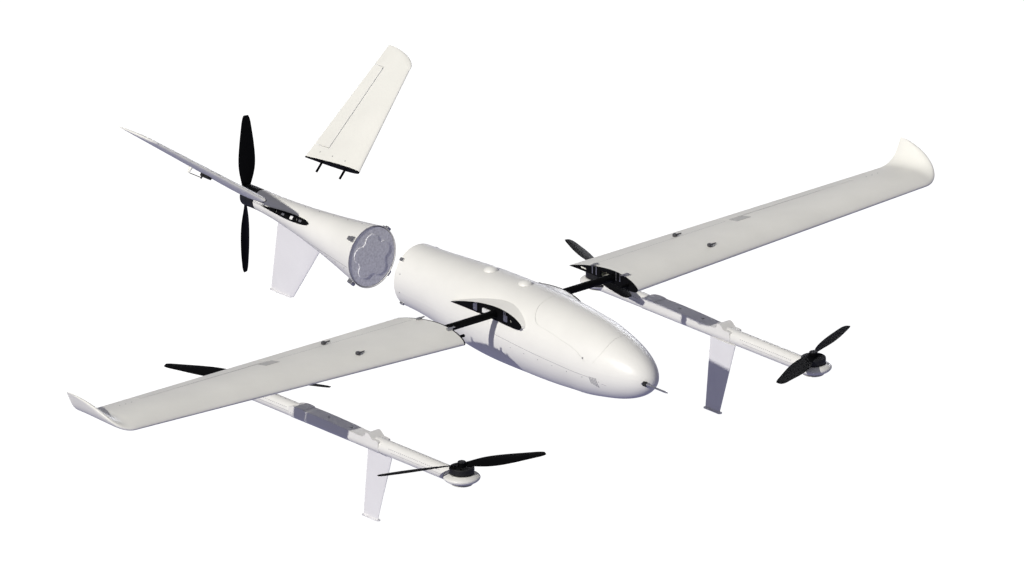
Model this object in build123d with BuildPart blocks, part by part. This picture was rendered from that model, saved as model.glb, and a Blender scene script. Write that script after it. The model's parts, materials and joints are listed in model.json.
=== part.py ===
from build123d import *
import math
import os

# Fixed wing drone with four lift rotors and one pusher, in its taken-apart, ready-to-join layout.
# +X is the nose, +Y the port side, +Z up. Origin: floor level, centre line, middle of the length.
# The rest position is the transport layout: each module stands one joining travel from its seat.

BOOM_TRAVEL = 176.0         # how far a boom rises to its wing

# ---- fuselage ----
FUSE_REAR_X = -144.0
FUSE_MID_X = 252.0          # widest station, where the long nose starts
FUSE_NOSE_X = 782.5
FUSE_R = 114.0              # half height at the widest station
FUSE_WIDTH_RATIO = 0.96     # half width over half height
FUSE_REAR_R = 85.5
FUSE_MID_Z = 365.3
FUSE_REAR_Z = 381.5
FUSE_NOSE_Z = 349.0
NOSE_FULLNESS = 2.87        # exponent of the nose profile; 2 would be an ellipse
NOSE_DROOP = 1.95           # exponent of the centre line's fall towards the nose
SHELL = 2.0                 # skin thickness of the moulded casings
SEAM_Z = 359.0              # parting line between the two half shells
PITOT_TIP_X = 862.0
PITOT_Y = -24.0             # the probe sits to starboard of the nose's tip
HATCH_X = (395.0, 655.0)    # equipment hatch, rear and front edges
HATCH_HALF_ANGLE = 50.0     # the hatch covers this many degrees each side of the top

# ---- wing ----
SPAR_X = 288.0
SPAR_Z = 425.0
SPAR_R = 10.0
STUB_Y = 110.7              # outer face of the stub rib
WING_ROOT_Y = 293.6         # inner face of the wing's root rib, one travel out
ROOT_CHORD = 264.7
ROOT_LE_X = 382.9
ROOT_LE_Z = 414.4
BEND_Y = 1349.0             # where the winglet starts to turn up
BEND_CHORD = 187.5
BEND_LE_X = 329.0
BEND_LE_Z = 431.5
INCIDENCE = 0.9             # nose-up setting of the wing, degrees
THICKNESS = 0.132
CAMBER = 0.048
WING_WALL = 1.8
WINGLET_TE_X = 141.5
HINGE_FRACTION = 0.77       # aileron hinge line, share of the chord
AILERON_Y = (790.0, 1224.0)
AILERON_BEVEL = 30.0        # slope of the aileron's front face below its hinge
GAP = 2.0                   # gap between a control surface and its panel

# ---- booms ----
BOOM_Y = 602.5
BOOM_AXIS_Z = 220.7
TUBE_R = 20.0
FRONT_MOTOR_X = 723.6
REAR_MOTOR_X = -119.8
PROP_Z = 259.3
LIFT_PROP_R = 228.6         # 18 inch lift propeller
SADDLE_WIDTH = 42.0
SADDLE_FIT = 1.2            # clearance between saddle and wing
KNOB_X = (182.1, 317.9)
LEG_Y = 587.0
FOOT_T = 2.6

# ---- tail ----
TAIL_FRONT_X = -325.2
TAIL_REAR_X = -768.0
PUSHER_Z = 415.0
PUSHER_PROP_X = -832.0
PUSHER_PROP_R = 218.0       # 17 inch pusher propeller
SPINNER_TIP_X = -852.0
FIN_CANT = 35.3             # V-tail angle above the horizon
FIN_ROOT = (-562.0, 158.5, 508.0)   # leading edge of the fin's root rib, port side
FIN_ROOT_CHORD = 204.0
FIN_SPAN = 380.0
FIN_TAPER_SPAN = 333.0      # straight leading edge up to here, rounded tip beyond
FIN_SWEEP = 110.0
FIN_TE_SWEEP = 31.8
FIN_SLIDE = (32.0, -113.0, -81.0)   # the way a fin slides home
FIN_TOE = 4.0               # the fin roots follow the cone's taper
STUB_RIB_T = 4.0

os.makedirs("parts", exist_ok=True)


def save(part, name):
    """Labels a finished piece and writes its file."""
    part.label = name
    export_step(part, f"parts/{name}.step")


def blend(start, end, t):
    """Smooth change from start to end as t goes from 0 to 1."""
    t = min(max(t, 0.0), 1.0)
    return start + (end - start) * t * t * (3 - 2 * t)


def mix(start, end, t):
    """Straight change from start to end as t goes from 0 to 1."""
    return start + (end - start) * t


# ------------------------------------------------------------------ airfoils

def airfoil_height(share, thickness, camber):
    """Upper and lower surface of a four-digit section at a share of the chord, in chords."""
    peak = 0.40
    half = 5 * thickness * (
        0.2969 * math.sqrt(share) - 0.1260 * share - 0.3516 * share ** 2
        + 0.2843 * share ** 3 - 0.1015 * share ** 4)
    if share < peak:
        line = camber / peak ** 2 * (2 * peak * share - share ** 2)
    else:
        line = camber / (1 - peak) ** 2 * ((1 - 2 * peak) + 2 * peak * share - share ** 2)
    return line + half, line - half


def airfoil(plane, chord, thickness, camber, start=0.0, end=1.0, wall=0.0):
    """Closed airfoil face. The plane's origin is the leading edge and its x runs aft.
    With a wall, it is the hollow inside the skin, between two shares of the chord."""
    count = 15
    shares = []
    for step in range(count + 1):
        shares.append(mix(start, end, 0.5 - 0.5 * math.cos(math.pi * step / count)))
    upper = []
    lower = []
    for share in shares:
        top, bottom = airfoil_height(share, thickness, camber)
        upper.append((share * chord, top * chord - wall))
        lower.append((share * chord, bottom * chord + wall))
    with BuildSketch(plane) as section:
        with BuildLine():
            if start == 0.0:
                Spline(*(upper[::-1] + lower[1:]))
            else:
                Spline(*upper)
                Spline(*lower)
                Line(upper[0], lower[0])
            Line(upper[-1], lower[-1])
        make_face()
    return section.sketch


def span_plane(origin, cant=0.0, incidence=0.0):
    """Section plane for a port surface: x runs aft, z runs out along the span."""
    pitch = math.radians(incidence)
    out = math.radians(cant)
    return Plane(
        origin=origin,
        x_dir=(-math.cos(pitch), math.sin(pitch) * math.sin(out), -math.sin(pitch) * math.cos(out)),
        z_dir=(0, math.cos(out), math.sin(out)))


def wing_station(y):
    """Leading edge x and z, and chord, of the straight wing at a station y."""
    t = (y - WING_ROOT_Y) / (BEND_Y - WING_ROOT_Y)
    return (mix(ROOT_LE_X, BEND_LE_X, t), mix(ROOT_LE_Z, BEND_LE_Z, t), mix(ROOT_CHORD, BEND_CHORD, t))


def wing_surface(y, share, upper=True):
    """Point (x, z) of the wing's skin at a station y and a share of the chord."""
    le_x, le_z, chord = wing_station(y)
    top, bottom = airfoil_height(share, THICKNESS, CAMBER)
    height = top if upper else bottom
    pitch = math.radians(INCIDENCE)
    x = le_x - chord * (share * math.cos(pitch) - height * math.sin(pitch))
    z = le_z + chord * (height * math.cos(pitch) - share * math.sin(pitch))
    return x, z


# ------------------------------------------------------------------ fuselage

def fuselage_station(x):
    """Centre height and half height of the fuselage at a station x."""
    if x > FUSE_MID_X:
        t = (x - FUSE_MID_X) / (FUSE_NOSE_X - FUSE_MID_X)
        radius = FUSE_R * math.sqrt(max(1 - t ** NOSE_FULLNESS, 0.0))
        return mix(FUSE_MID_Z, FUSE_NOSE_Z, t ** NOSE_DROOP), radius
    t = (FUSE_MID_X - x) / (FUSE_MID_X - FUSE_REAR_X)
    return blend(FUSE_MID_Z, FUSE_REAR_Z, t), blend(FUSE_R, FUSE_REAR_R, t ** 1.15)


def fuselage_loft(stations, wall=0.0):
    """Body through elliptic sections, less a wall thickness."""
    sections = []
    for x in stations:
        centre, radius = fuselage_station(x)
        plane = Plane(origin=(x, 0, centre), x_dir=(0, 1, 0), z_dir=(1, 0, 0))
        with BuildSketch(plane) as section:
            Ellipse(radius * FUSE_WIDTH_RATIO - wall, radius - wall)
        sections.append(section.sketch)
    with BuildPart() as body:
        loft(sections=sections)
    return body.part


HULL_STATIONS = [-60, 50, 155, FUSE_MID_X, 350, 450, 540, 615, 675, 720, 750, 769]
OUTER_STATIONS = [FUSE_REAR_X, *HULL_STATIONS, 779, 782.2]
INNER_STATIONS = [FUSE_REAR_X - 1, *HULL_STATIONS]
fuselage_outer = fuselage_loft(OUTER_STATIONS)
fuselage_inner = fuselage_loft(INNER_STATIONS, SHELL)

STUB_LE_X = ROOT_LE_X + 5.5
STUB_CHORD = ROOT_CHORD + 9.0
PIN_X = 348.0
PIN_Z = 421.0
PIN_R = 4.0
PIN_LENGTH = 26.0
SOCKET_CLEARANCE = 0.25


def stub_plane(y):
    """Section plane of the wing stub at a station y."""
    return span_plane((STUB_LE_X, y, ROOT_LE_Z - 1.2), 0.0, INCIDENCE)


with BuildPart() as stub_port:
    inner_plane = span_plane((STUB_LE_X + 24, 50.0, ROOT_LE_Z - 7), 0.0, INCIDENCE)
    loft(sections=[
        airfoil(inner_plane, STUB_CHORD + 62, 0.185, 0.060),
        airfoil(stub_plane(STUB_Y - STUB_RIB_T), STUB_CHORD, THICKNESS, CAMBER),
    ])

with BuildPart() as fairings:
    add(stub_port.part)
    mirror(stub_port.part, about=Plane.XZ)
    add(fuselage_inner, mode=Mode.SUBTRACT)

with BuildPart() as fuselage_skin:
    add(fuselage_outer)
    add(fuselage_inner, mode=Mode.SUBTRACT)
    add(fairings.part)
    # spar passage and the sockets of the wings' locating pins
    with BuildSketch(Plane.XZ.offset(-200)) as bores:
        with Locations((SPAR_X, SPAR_Z)):
            Circle(SPAR_R)
        with Locations((PIN_X, PIN_Z)):
            Circle(PIN_R + SOCKET_CLEARANCE)
    extrude(amount=400, mode=Mode.SUBTRACT)

HATCH_WIDTH = 2 * FUSE_R * math.sin(math.radians(HATCH_HALF_ANGLE))
with BuildPart() as hatch_cutter:
    with BuildSketch(Plane.XY.offset(SEAM_Z + 20)):
        with Locations(((HATCH_X[0] + HATCH_X[1]) / 2, 0)):
            RectangleRounded(HATCH_X[1] - HATCH_X[0], HATCH_WIDTH, 40)
    extrude(amount=140)

with BuildPart() as hatch_opening:
    with BuildSketch(Plane.XY.offset(SEAM_Z + 20)):
        with Locations(((HATCH_X[0] + HATCH_X[1]) / 2, 0)):
            RectangleRounded(HATCH_X[1] - HATCH_X[0] + 1.2, HATCH_WIDTH + 1.2, 40.6)
    extrude(amount=140)

with BuildPart() as equipment_hatch:
    add(fuselage_outer)
    add(fuselage_inner, mode=Mode.SUBTRACT)
    add(hatch_cutter.part, mode=Mode.INTERSECT)
save(equipment_hatch.part, "equipment_hatch")

with BuildPart() as fuselage_upper_shell:
    add(fuselage_skin.part)
    split(bisect_by=Plane.XY.offset(SEAM_Z), keep=Keep.TOP)
    add(hatch_opening.part, mode=Mode.SUBTRACT)
save(fuselage_upper_shell.part, "fuselage_upper_shell")

with BuildPart() as fuselage_lower_shell:
    add(fuselage_skin.part)
    split(bisect_by=Plane.XY.offset(SEAM_Z), keep=Keep.BOTTOM)
save(fuselage_lower_shell.part, "fuselage_lower_shell")

with BuildPart() as wing_spar_tube:
    with BuildSketch(Plane.XZ.offset(-(WING_ROOT_Y + 42))):
        with Locations((SPAR_X, SPAR_Z)):
            Circle(SPAR_R)
            Circle(SPAR_R - 1.5, mode=Mode.SUBTRACT)
    extrude(amount=2 * (WING_ROOT_Y + 42))
save(wing_spar_tube.part, "wing_spar_tube")

# pitot probe: a mounting collar on the nose, a slim tube and a tapered sensing head
PITOT_R = 2.6
PITOT_ROOT_X = FUSE_NOSE_X - 20
with BuildPart() as pitot_probe:
    with BuildSketch(Plane.XZ.offset(-PITOT_Y)):
        with BuildLine():
            Polyline(
                (PITOT_ROOT_X, FUSE_NOSE_Z), (PITOT_ROOT_X, FUSE_NOSE_Z + 7),
                (PITOT_ROOT_X + 16, FUSE_NOSE_Z + 5.4), (PITOT_ROOT_X + 30, FUSE_NOSE_Z + PITOT_R),
                (PITOT_TIP_X - 8, FUSE_NOSE_Z + PITOT_R), (PITOT_TIP_X, FUSE_NOSE_Z + 1.4),
                (PITOT_TIP_X, FUSE_NOSE_Z), close=True)
        make_face()
    revolve(axis=Axis((PITOT_ROOT_X, PITOT_Y, FUSE_NOSE_Z), (1, 0, 0)))
    add(fuselage_outer, mode=Mode.SUBTRACT)
save(pitot_probe.part, "pitot_probe")

# antenna domes and the small tube beside the aft one, on the spine
DOME_X = (146.7, 282.0)
with BuildPart() as antenna_domes:
    for x in DOME_X:
        centre, radius = fuselage_station(x)
        top = centre + radius
        with BuildSketch(Plane(origin=(x, 0, 0), x_dir=(1, 0, 0), z_dir=(0, -1, 0))):
            with BuildLine():
                Line((0, top - 4), (0, top + 9))
                Spline((0, top + 9), (12, top + 6.6), (20, top - 4), tangents=[(1, 0), (0.1, -1)])
                Line((20, top - 4), (0, top - 4))
            make_face()
        revolve(axis=Axis((x, 0, 0), (0, 0, 1)))
    add(fuselage_outer, mode=Mode.SUBTRACT)
save(antenna_domes.part, "antenna_domes")

REAR_BULKHEAD_T = 5.0
with BuildPart() as rear_bulkhead:
    with BuildSketch(Plane.YZ.offset(FUSE_REAR_X + 3)):
        with Locations((0, FUSE_REAR_Z)):
            Circle(FUSE_REAR_R * FUSE_WIDTH_RATIO - SHELL - 0.4)
            Circle(46, mode=Mode.SUBTRACT)
            with PolarLocations(62, 4, 45):
                Circle(3, mode=Mode.SUBTRACT)
    extrude(amount=REAR_BULKHEAD_T)
save(rear_bulkhead.part, "rear_bulkhead")


def rib_face_plane(y):
    """Plane of a rib face at a station y, with x forward and y up."""
    return Plane(origin=(0, y, 0), x_dir=(1, 0, 0), z_dir=(0, -1, 0))


# stub ribs: black plates with the spar hole and the sockets of the wings' locating pins
with BuildPart() as stub_rib_port:
    extrude(airfoil(stub_plane(STUB_Y - STUB_RIB_T), STUB_CHORD, THICKNESS, CAMBER), amount=STUB_RIB_T)
    with BuildSketch(rib_face_plane(STUB_Y + 1)):
        with Locations((SPAR_X, SPAR_Z)):
            Circle(SPAR_R)
        with Locations((PIN_X, PIN_Z)):
            Circle(PIN_R + SOCKET_CLEARANCE)
    extrude(amount=10, mode=Mode.SUBTRACT)
save(stub_rib_port.part, "stub_rib_port")

with BuildPart() as stub_rib_starboard:
    mirror(stub_rib_port.part, about=Plane.XZ)
save(stub_rib_starboard.part, "stub_rib_starboard")

# metal latch plates on both stub ribs, and keepers on the fuselage's rear rim
LATCH_SHARE = (0.20, 0.65)   # places of the two wing latches along the chord
LATCH_PLATE = (15.0, 17.0, 1.2)
CONNECTOR = (28.0, 12.0, 4.0)
CONNECTOR_SHARE = 0.48
RIM_ANGLES = (45, 135, 225, 315)


def root_point(share):
    """Middle of the root section's thickness at a share of the chord: (x, z)."""
    top_x, top_z = wing_surface(WING_ROOT_Y, share, True)
    low_x, low_z = wing_surface(WING_ROOT_Y, share, False)
    return (top_x + low_x) / 2, (top_z + low_z) / 2


with BuildPart() as latch_keepers:
    for share in LATCH_SHARE:
        x, z = root_point(share)
        for y in (STUB_Y + LATCH_PLATE[2], -STUB_Y):
            with BuildSketch(rib_face_plane(y)):
                with Locations((x, z)):
                    RectangleRounded(LATCH_PLATE[0], LATCH_PLATE[1], 2)
                    Circle(2.6, mode=Mode.SUBTRACT)
            extrude(amount=LATCH_PLATE[2])
    for angle in RIM_ANGLES:
        rim = Plane(origin=(FUSE_REAR_X + 8, 0, FUSE_REAR_Z), x_dir=(1, 0, 0),
                    z_dir=(0, math.cos(math.radians(angle)), math.sin(math.radians(angle))))
        with BuildSketch(rim.offset(FUSE_REAR_R - 6)):
            RectangleRounded(12, 9, 1.5)
        extrude(amount=9)
    add(fuselage_outer, mode=Mode.SUBTRACT)
save(latch_keepers.part, "latch_keepers")

# wiring connectors between the latch plates
with BuildPart() as stub_connectors:
    x, z = root_point(CONNECTOR_SHARE)
    for y in (STUB_Y + CONNECTOR[2], -STUB_Y):
        with BuildSketch(rib_face_plane(y)):
            with Locations((x, z - 2)):
                RectangleRounded(CONNECTOR[0], CONNECTOR[1], 1.5)
        extrude(amount=CONNECTOR[2])
        with BuildSketch(rib_face_plane(y if y > 0 else y - CONNECTOR[2] + 1.5)):
            with Locations((x, z - 2)):
                with GridLocations(3.2, 4.4, 7, 2):
                    Circle(0.8)
        extrude(amount=1.5, mode=Mode.SUBTRACT)
save(stub_connectors.part, "stub_connectors")

# equipment inside the fuselage
DECK_Z = 300.0
DECK_T = 3.0
PAYLOAD_X = 180.0
PAYLOAD_PITCH = 60.0
PAYLOAD_HOLE_R = 1.7
with BuildPart() as equipment_deck:
    with BuildSketch(Plane.XY.offset(DECK_Z)):
        with Locations((335, 0)):
            RectangleRounded(450, 92, 12)
        with Locations((PAYLOAD_X, 0)):
            with GridLocations(PAYLOAD_PITCH, PAYLOAD_PITCH, 2, 2):
                Circle(PAYLOAD_HOLE_R, mode=Mode.SUBTRACT)
    extrude(amount=DECK_T)
save(equipment_deck.part, "equipment_deck")

with BuildPart() as flight_battery:
    with BuildSketch(Plane.XY.offset(DECK_Z + DECK_T)):
        with Locations((430, 0)):
            RectangleRounded(190, 84, 6)
    extrude(amount=62)
    chamfer(flight_battery.faces().sort_by(Axis.Z)[-1].edges(), 2)
save(flight_battery.part, "flight_battery")

with BuildPart() as autopilot:
    with BuildSketch(Plane.XY.offset(DECK_Z + DECK_T)):
        with Locations((275, 0)):
            RectangleRounded(84, 60, 5)
    extrude(amount=30)
    with BuildSketch(Plane.XY.offset(DECK_Z + DECK_T + 30)):
        with Locations((275, 0)):
            with GridLocations(0, 10, 1, 4):
                Rectangle(60, 3)
    extrude(amount=-2, mode=Mode.SUBTRACT)
save(autopilot.part, "autopilot")

# ------------------------------------------------------------------ wings


def hinge_wedge(start, end, normal, bevel, margin):
    """Everything aft of a hinge line that runs along the skin from start to end.
    The front face slopes aft by the bevel angle below the hinge; margin grows it on all sides."""
    start = Vector(*start)
    along = (Vector(*end) - start).normalized()
    begin = start - along * margin
    lean = 60 * math.tan(math.radians(bevel))
    with BuildPart() as wedge:
        with BuildSketch(Plane(origin=begin, x_dir=(-1, 0, 0), z_dir=normal)):
            with BuildLine():
                Polyline((-margin, 30), (-margin, 0), (lean - margin, -60), (170, -60), (170, 30), close=True)
            make_face()
        extrude(amount=(Vector(*end) - start).length + 2 * margin, dir=along)
    return wedge.part


def winglet_path(travelled):
    """Leading edge place (y, z) and cant angle after a distance along the winglet."""
    y, z = BEND_Y, BEND_LE_Z
    steps = 40
    cant = WING_DIHEDRAL
    for step in range(steps):
        here = travelled * (step + 0.5) / steps
        cant = blend(WING_DIHEDRAL, WINGLET_CANT, here / WINGLET_BEND)
        y += math.cos(math.radians(cant)) * travelled / steps
        z += math.sin(math.radians(cant)) * travelled / steps
    return y, z, blend(WING_DIHEDRAL, WINGLET_CANT, travelled / WINGLET_BEND)


WING_DIHEDRAL = math.degrees(math.atan2(BEND_LE_Z - ROOT_LE_Z, BEND_Y - WING_ROOT_Y))
WINGLET_CANT = 65.0
WINGLET_BEND = 92.0
WINGLET_LENGTH = 114.0
RIB_INNER_Y = WING_ROOT_Y + STUB_RIB_T


def wing_plane(y):
    """Section plane of the straight wing at a station y."""
    le_x, le_z, chord = wing_station(y)
    return span_plane((le_x, y, le_z), 0.0, INCIDENCE)


def wing_section(y):
    """Outer airfoil of the straight wing at a station y."""
    return airfoil(wing_plane(y), wing_station(y)[2], THICKNESS, CAMBER)


def wing_hollow(y):
    """Hollow inside the wing's skin at a station y."""
    return airfoil(wing_plane(y), wing_station(y)[2], THICKNESS, CAMBER, 0.03, 0.68, WING_WALL)


aileron_hinge = []
for y in AILERON_Y:
    hinge_x, hinge_z = wing_surface(y, HINGE_FRACTION)
    aileron_hinge.append((hinge_x, y, hinge_z))

with BuildPart() as wing_outer:
    loft(sections=[wing_section(RIB_INNER_Y), wing_section(BEND_Y)], ruled=True)

with BuildPart() as wing_core:
    loft(sections=[wing_hollow(RIB_INNER_Y - 1), wing_hollow(BEND_Y - 14)], ruled=True)

KNOB_PIN_R = 3.0
with BuildPart() as wing_panel_port:
    add(wing_outer.part)
    add(wing_core.part, mode=Mode.SUBTRACT)
    add(hinge_wedge(aileron_hinge[0], aileron_hinge[1], (0, 1, 0), 0.0, GAP), mode=Mode.SUBTRACT)
    with BuildSketch(Plane.XY.offset(380)):
        for x in KNOB_X:
            with Locations((x, BOOM_Y)):
                Circle(KNOB_PIN_R + 0.3)
    extrude(amount=100, mode=Mode.SUBTRACT)
save(wing_panel_port.part, "wing_panel_port")

with BuildPart() as aileron_port:
    add(wing_outer.part)
    add(hinge_wedge(aileron_hinge[0], aileron_hinge[1], (0, 1, 0), AILERON_BEVEL, 0.0), mode=Mode.INTERSECT)
    horn_x, horn_z = wing_surface(AILERON_Y[0] + 20, HINGE_FRACTION + 0.06, False)
    with BuildSketch(rib_face_plane(AILERON_Y[0] + 21.5)):
        with BuildLine():
            Polyline((horn_x - 9, horn_z + 3), (horn_x + 9, horn_z + 3), (horn_x + 9, horn_z - 14),
                     (horn_x + 4, horn_z - 16), close=True)
        make_face()
        with Locations((horn_x + 5.5, horn_z - 12)):
            Circle(1.0, mode=Mode.SUBTRACT)
    extrude(amount=3)
save(aileron_port.part, "aileron_port")

WINGLET_SHARES = (0.0, 0.12, 0.26, 0.40, 0.54, 0.66, 0.77, 0.86, 0.93, 0.975, 0.992)
with BuildPart() as winglet_port:
    winglet_sections = []
    for share in WINGLET_SHARES:
        y, z, cant = winglet_path(WINGLET_LENGTH * share)
        chord = BEND_CHORD * math.sqrt(1 - share ** 2)
        cant = 0.0 if share == 0.0 else cant
        plane = span_plane((WINGLET_TE_X + chord, y, z), cant, INCIDENCE * (1 - share))
        winglet_sections.append(airfoil(plane, chord, mix(THICKNESS, 0.10, share), mix(CAMBER, 0.02, share)))
    loft(sections=winglet_sections)
    add(wing_outer.part, mode=Mode.SUBTRACT)
save(winglet_port.part, "winglet_port")

ROOT_WINDOW = (CONNECTOR[0] + 5, CONNECTOR[1] + 5)
with BuildPart() as wing_root_rib_port:
    extrude(wing_section(WING_ROOT_Y), amount=STUB_RIB_T)
    window_x, window_z = root_point(CONNECTOR_SHARE)
    with BuildSketch(rib_face_plane(RIB_INNER_Y + 1)):
        with Locations((SPAR_X, SPAR_Z)):
            Circle(SPAR_R + 0.3)
        with Locations((window_x, window_z - 2)):
            RectangleRounded(ROOT_WINDOW[0], ROOT_WINDOW[1], 3)
        with Locations(root_point(0.80)):
            SlotOverall(26, 6)
    extrude(amount=10, mode=Mode.SUBTRACT)
    with BuildSketch(rib_face_plane(WING_ROOT_Y + 0.5)):
        with Locations((PIN_X, PIN_Z)):
            Circle(PIN_R)
    extrude(amount=PIN_LENGTH + 0.5)
    chamfer(wing_root_rib_port.faces().sort_by(Axis.Y)[0].edges(), 1)
save(wing_root_rib_port.part, "wing_root_rib_port")

with BuildPart() as wing_latches_port:
    for share in LATCH_SHARE:
        x, z = wing_surface(WING_ROOT_Y, share)
        with BuildSketch(Plane.XY.offset(z - 6)):
            with Locations((x, WING_ROOT_Y + 9)):
                RectangleRounded(9, 16, 2)
        extrude(amount=11)
        with BuildSketch(Plane.XY.offset(z + 3.4)):
            with Locations((x, WING_ROOT_Y - 2)):
                RectangleRounded(6, 14, 2)
        extrude(amount=1.6)
    add(wing_outer.part, mode=Mode.SUBTRACT)
    add(wing_root_rib_port.part, mode=Mode.SUBTRACT)
save(wing_latches_port.part, "wing_latches_port")

SERVO_BLISTER = (46.0, 26.0)
FIN_ROD_LENGTH = 46.0
ROD_LENGTH = 36.0
with BuildPart() as aileron_servo_port:
    x, z = wing_surface(AILERON_Y[0] - 12, 0.60, False)
    with BuildSketch(Plane.XY.offset(z + 4)):
        with Locations((x + 6, AILERON_Y[0] - 6)):
            Rectangle(24, 22)
    extrude(amount=12)
    with BuildSketch(Plane.XY.offset(z - 4)):
        with Locations((x, AILERON_Y[0] - 6)):
            Ellipse(SERVO_BLISTER[0] / 2 - 5, SERVO_BLISTER[1] / 2 - 4)
    with BuildSketch(Plane.XY.offset(z + 4)):
        with Locations((x, AILERON_Y[0] - 6)):
            Ellipse(SERVO_BLISTER[0] / 2, SERVO_BLISTER[1] / 2)
    loft()
    # output arm and pushrod, running aft beside the aileron's horn
    with BuildSketch(rib_face_plane(AILERON_Y[0] + 12)):
        with Locations((x - 14, z - 7)):
            SlotOverall(14, 5, rotation=90)
    extrude(amount=3)
    with BuildSketch(Plane(origin=(x - 14, AILERON_Y[0] + 13.5, z - 11), x_dir=(0, 1, 0), z_dir=(-1, 0, 0))):
        Circle(1.1)
    extrude(amount=ROD_LENGTH)
    add(wing_panel_port.part, mode=Mode.SUBTRACT)
save(aileron_servo_port.part, "aileron_servo_port")

# boom locks: a knurled knob with a pointed lever on the wing's top skin
KNOB_R = 6.5
KNOB_H = 6.5
LEVER_LENGTH = 22.0


def boom_lock(x, y):
    """Quarter-turn lock above a boom: knob, lever and the pin down through the wing."""
    share = (wing_station(BOOM_Y)[0] - x) / wing_station(BOOM_Y)[2]
    top = wing_surface(BOOM_Y, share)[1]
    low = wing_surface(BOOM_Y, share, False)[1]
    with BuildPart() as lock:
        with BuildSketch(Plane.XY.offset(top + 1.6)):
            with Locations((x, y)):
                RegularPolygon(KNOB_R, 12)
        extrude(amount=KNOB_H)
        chamfer(lock.faces().sort_by(Axis.Z)[-1].edges(), 1.2)
        with BuildSketch(Plane.XY.offset(top + 3.4)):
            with BuildLine():
                Polyline((x - 3, y), (x + 3, y), (x + 0.8, y + LEVER_LENGTH), (x - 0.8, y + LEVER_LENGTH),
                         close=True)
            make_face()
        extrude(amount=2.8)
        with BuildSketch(Plane.XY.offset(low + 1.0)):
            with Locations((x, y)):
                Circle(KNOB_PIN_R)
        extrude(amount=top - low + 1.6)
    return lock.part


for x, place in zip(KNOB_X, ("aft", "fore")):
    save(boom_lock(x, BOOM_Y), f"boom_lock_{place}_port")
    save(boom_lock(x, -BOOM_Y), f"boom_lock_{place}_starboard")

# ------------------------------------------------------------------ booms

POD_TOP_Z = 235.0
POD_RIM_Z = 225.0
POD_BOTTOM_Z = 206.0
POD_WIDE_R = 48.0
BELL_R = 32.5
boom_le_x, boom_le_z, boom_chord = wing_station(BOOM_Y)


NOSE_WALL_X = boom_le_x + 2.4
HUMP_TOP_Z = 250.0
HUMP_END_X = 412.0
SADDLE_REAR_X = 108.0
SADDLE_FLOOR_Z = 186.0


def boom_axis_plane(x):
    """Plane across a port boom at a station x."""
    return Plane(origin=(x, BOOM_Y, BOOM_AXIS_Z), x_dir=(0, 1, 0), z_dir=(1, 0, 0))


def clearance_section(y):
    """Wing section at a station y, grown by the saddle's clearance and lowered by the boom's travel."""
    le_x, le_z, chord = wing_station(y)
    plane = span_plane((le_x + SADDLE_FIT, y, le_z - BOOM_TRAVEL), 0.0, INCIDENCE)
    return airfoil(plane, chord + 2 * SADDLE_FIT, THICKNESS, CAMBER, wall=-SADDLE_FIT)


with BuildPart() as wing_clearance:
    loft(sections=[clearance_section(BOOM_Y - 60), clearance_section(BOOM_Y + 60)], ruled=True)

# the saddle's upper edge runs inside the wing's section, which is then cut away
chord_drop = boom_chord * math.sin(math.radians(INCIDENCE))
saddle_front = (NOSE_WALL_X, boom_le_z - BOOM_TRAVEL)
saddle_rear = (boom_le_x - boom_chord, boom_le_z - BOOM_TRAVEL - chord_drop)
with BuildPart() as saddle:
    # section: flat sides on a half-round belly
    with BuildSketch(boom_axis_plane(SADDLE_REAR_X - 60)):
        Circle(SADDLE_WIDTH / 2)
        with Locations((0, 30)):
            Rectangle(SADDLE_WIDTH, 60)
    extrude(amount=HUMP_END_X - SADDLE_REAR_X + 100)
    with BuildSketch(rib_face_plane(BOOM_Y + SADDLE_WIDTH)):
        with BuildLine():
            Line(saddle_rear, saddle_front)
            Line(saddle_front, (NOSE_WALL_X, HUMP_TOP_Z - 2))
            Spline((NOSE_WALL_X, HUMP_TOP_Z - 2), (NOSE_WALL_X + 10, HUMP_TOP_Z),
                   (NOSE_WALL_X + 26, HUMP_TOP_Z - 11), (HUMP_END_X + 8, BOOM_AXIS_Z + 16),
                   tangents=[(1, 0.5), (1, -0.15)])
            Line((HUMP_END_X + 8, BOOM_AXIS_Z + 16), (HUMP_END_X + 8, SADDLE_FLOOR_Z))
            Line((HUMP_END_X + 8, SADDLE_FLOOR_Z), (SADDLE_REAR_X - 40, SADDLE_FLOOR_Z))
            Line((SADDLE_REAR_X - 40, SADDLE_FLOOR_Z), (SADDLE_REAR_X - 40, BOOM_AXIS_Z + 14))
            Spline((SADDLE_REAR_X - 40, BOOM_AXIS_Z + 14), (SADDLE_REAR_X - 10, BOOM_AXIS_Z + 20),
                   saddle_rear)
        make_face()
    extrude(amount=2 * SADDLE_WIDTH, mode=Mode.INTERSECT)

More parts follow.
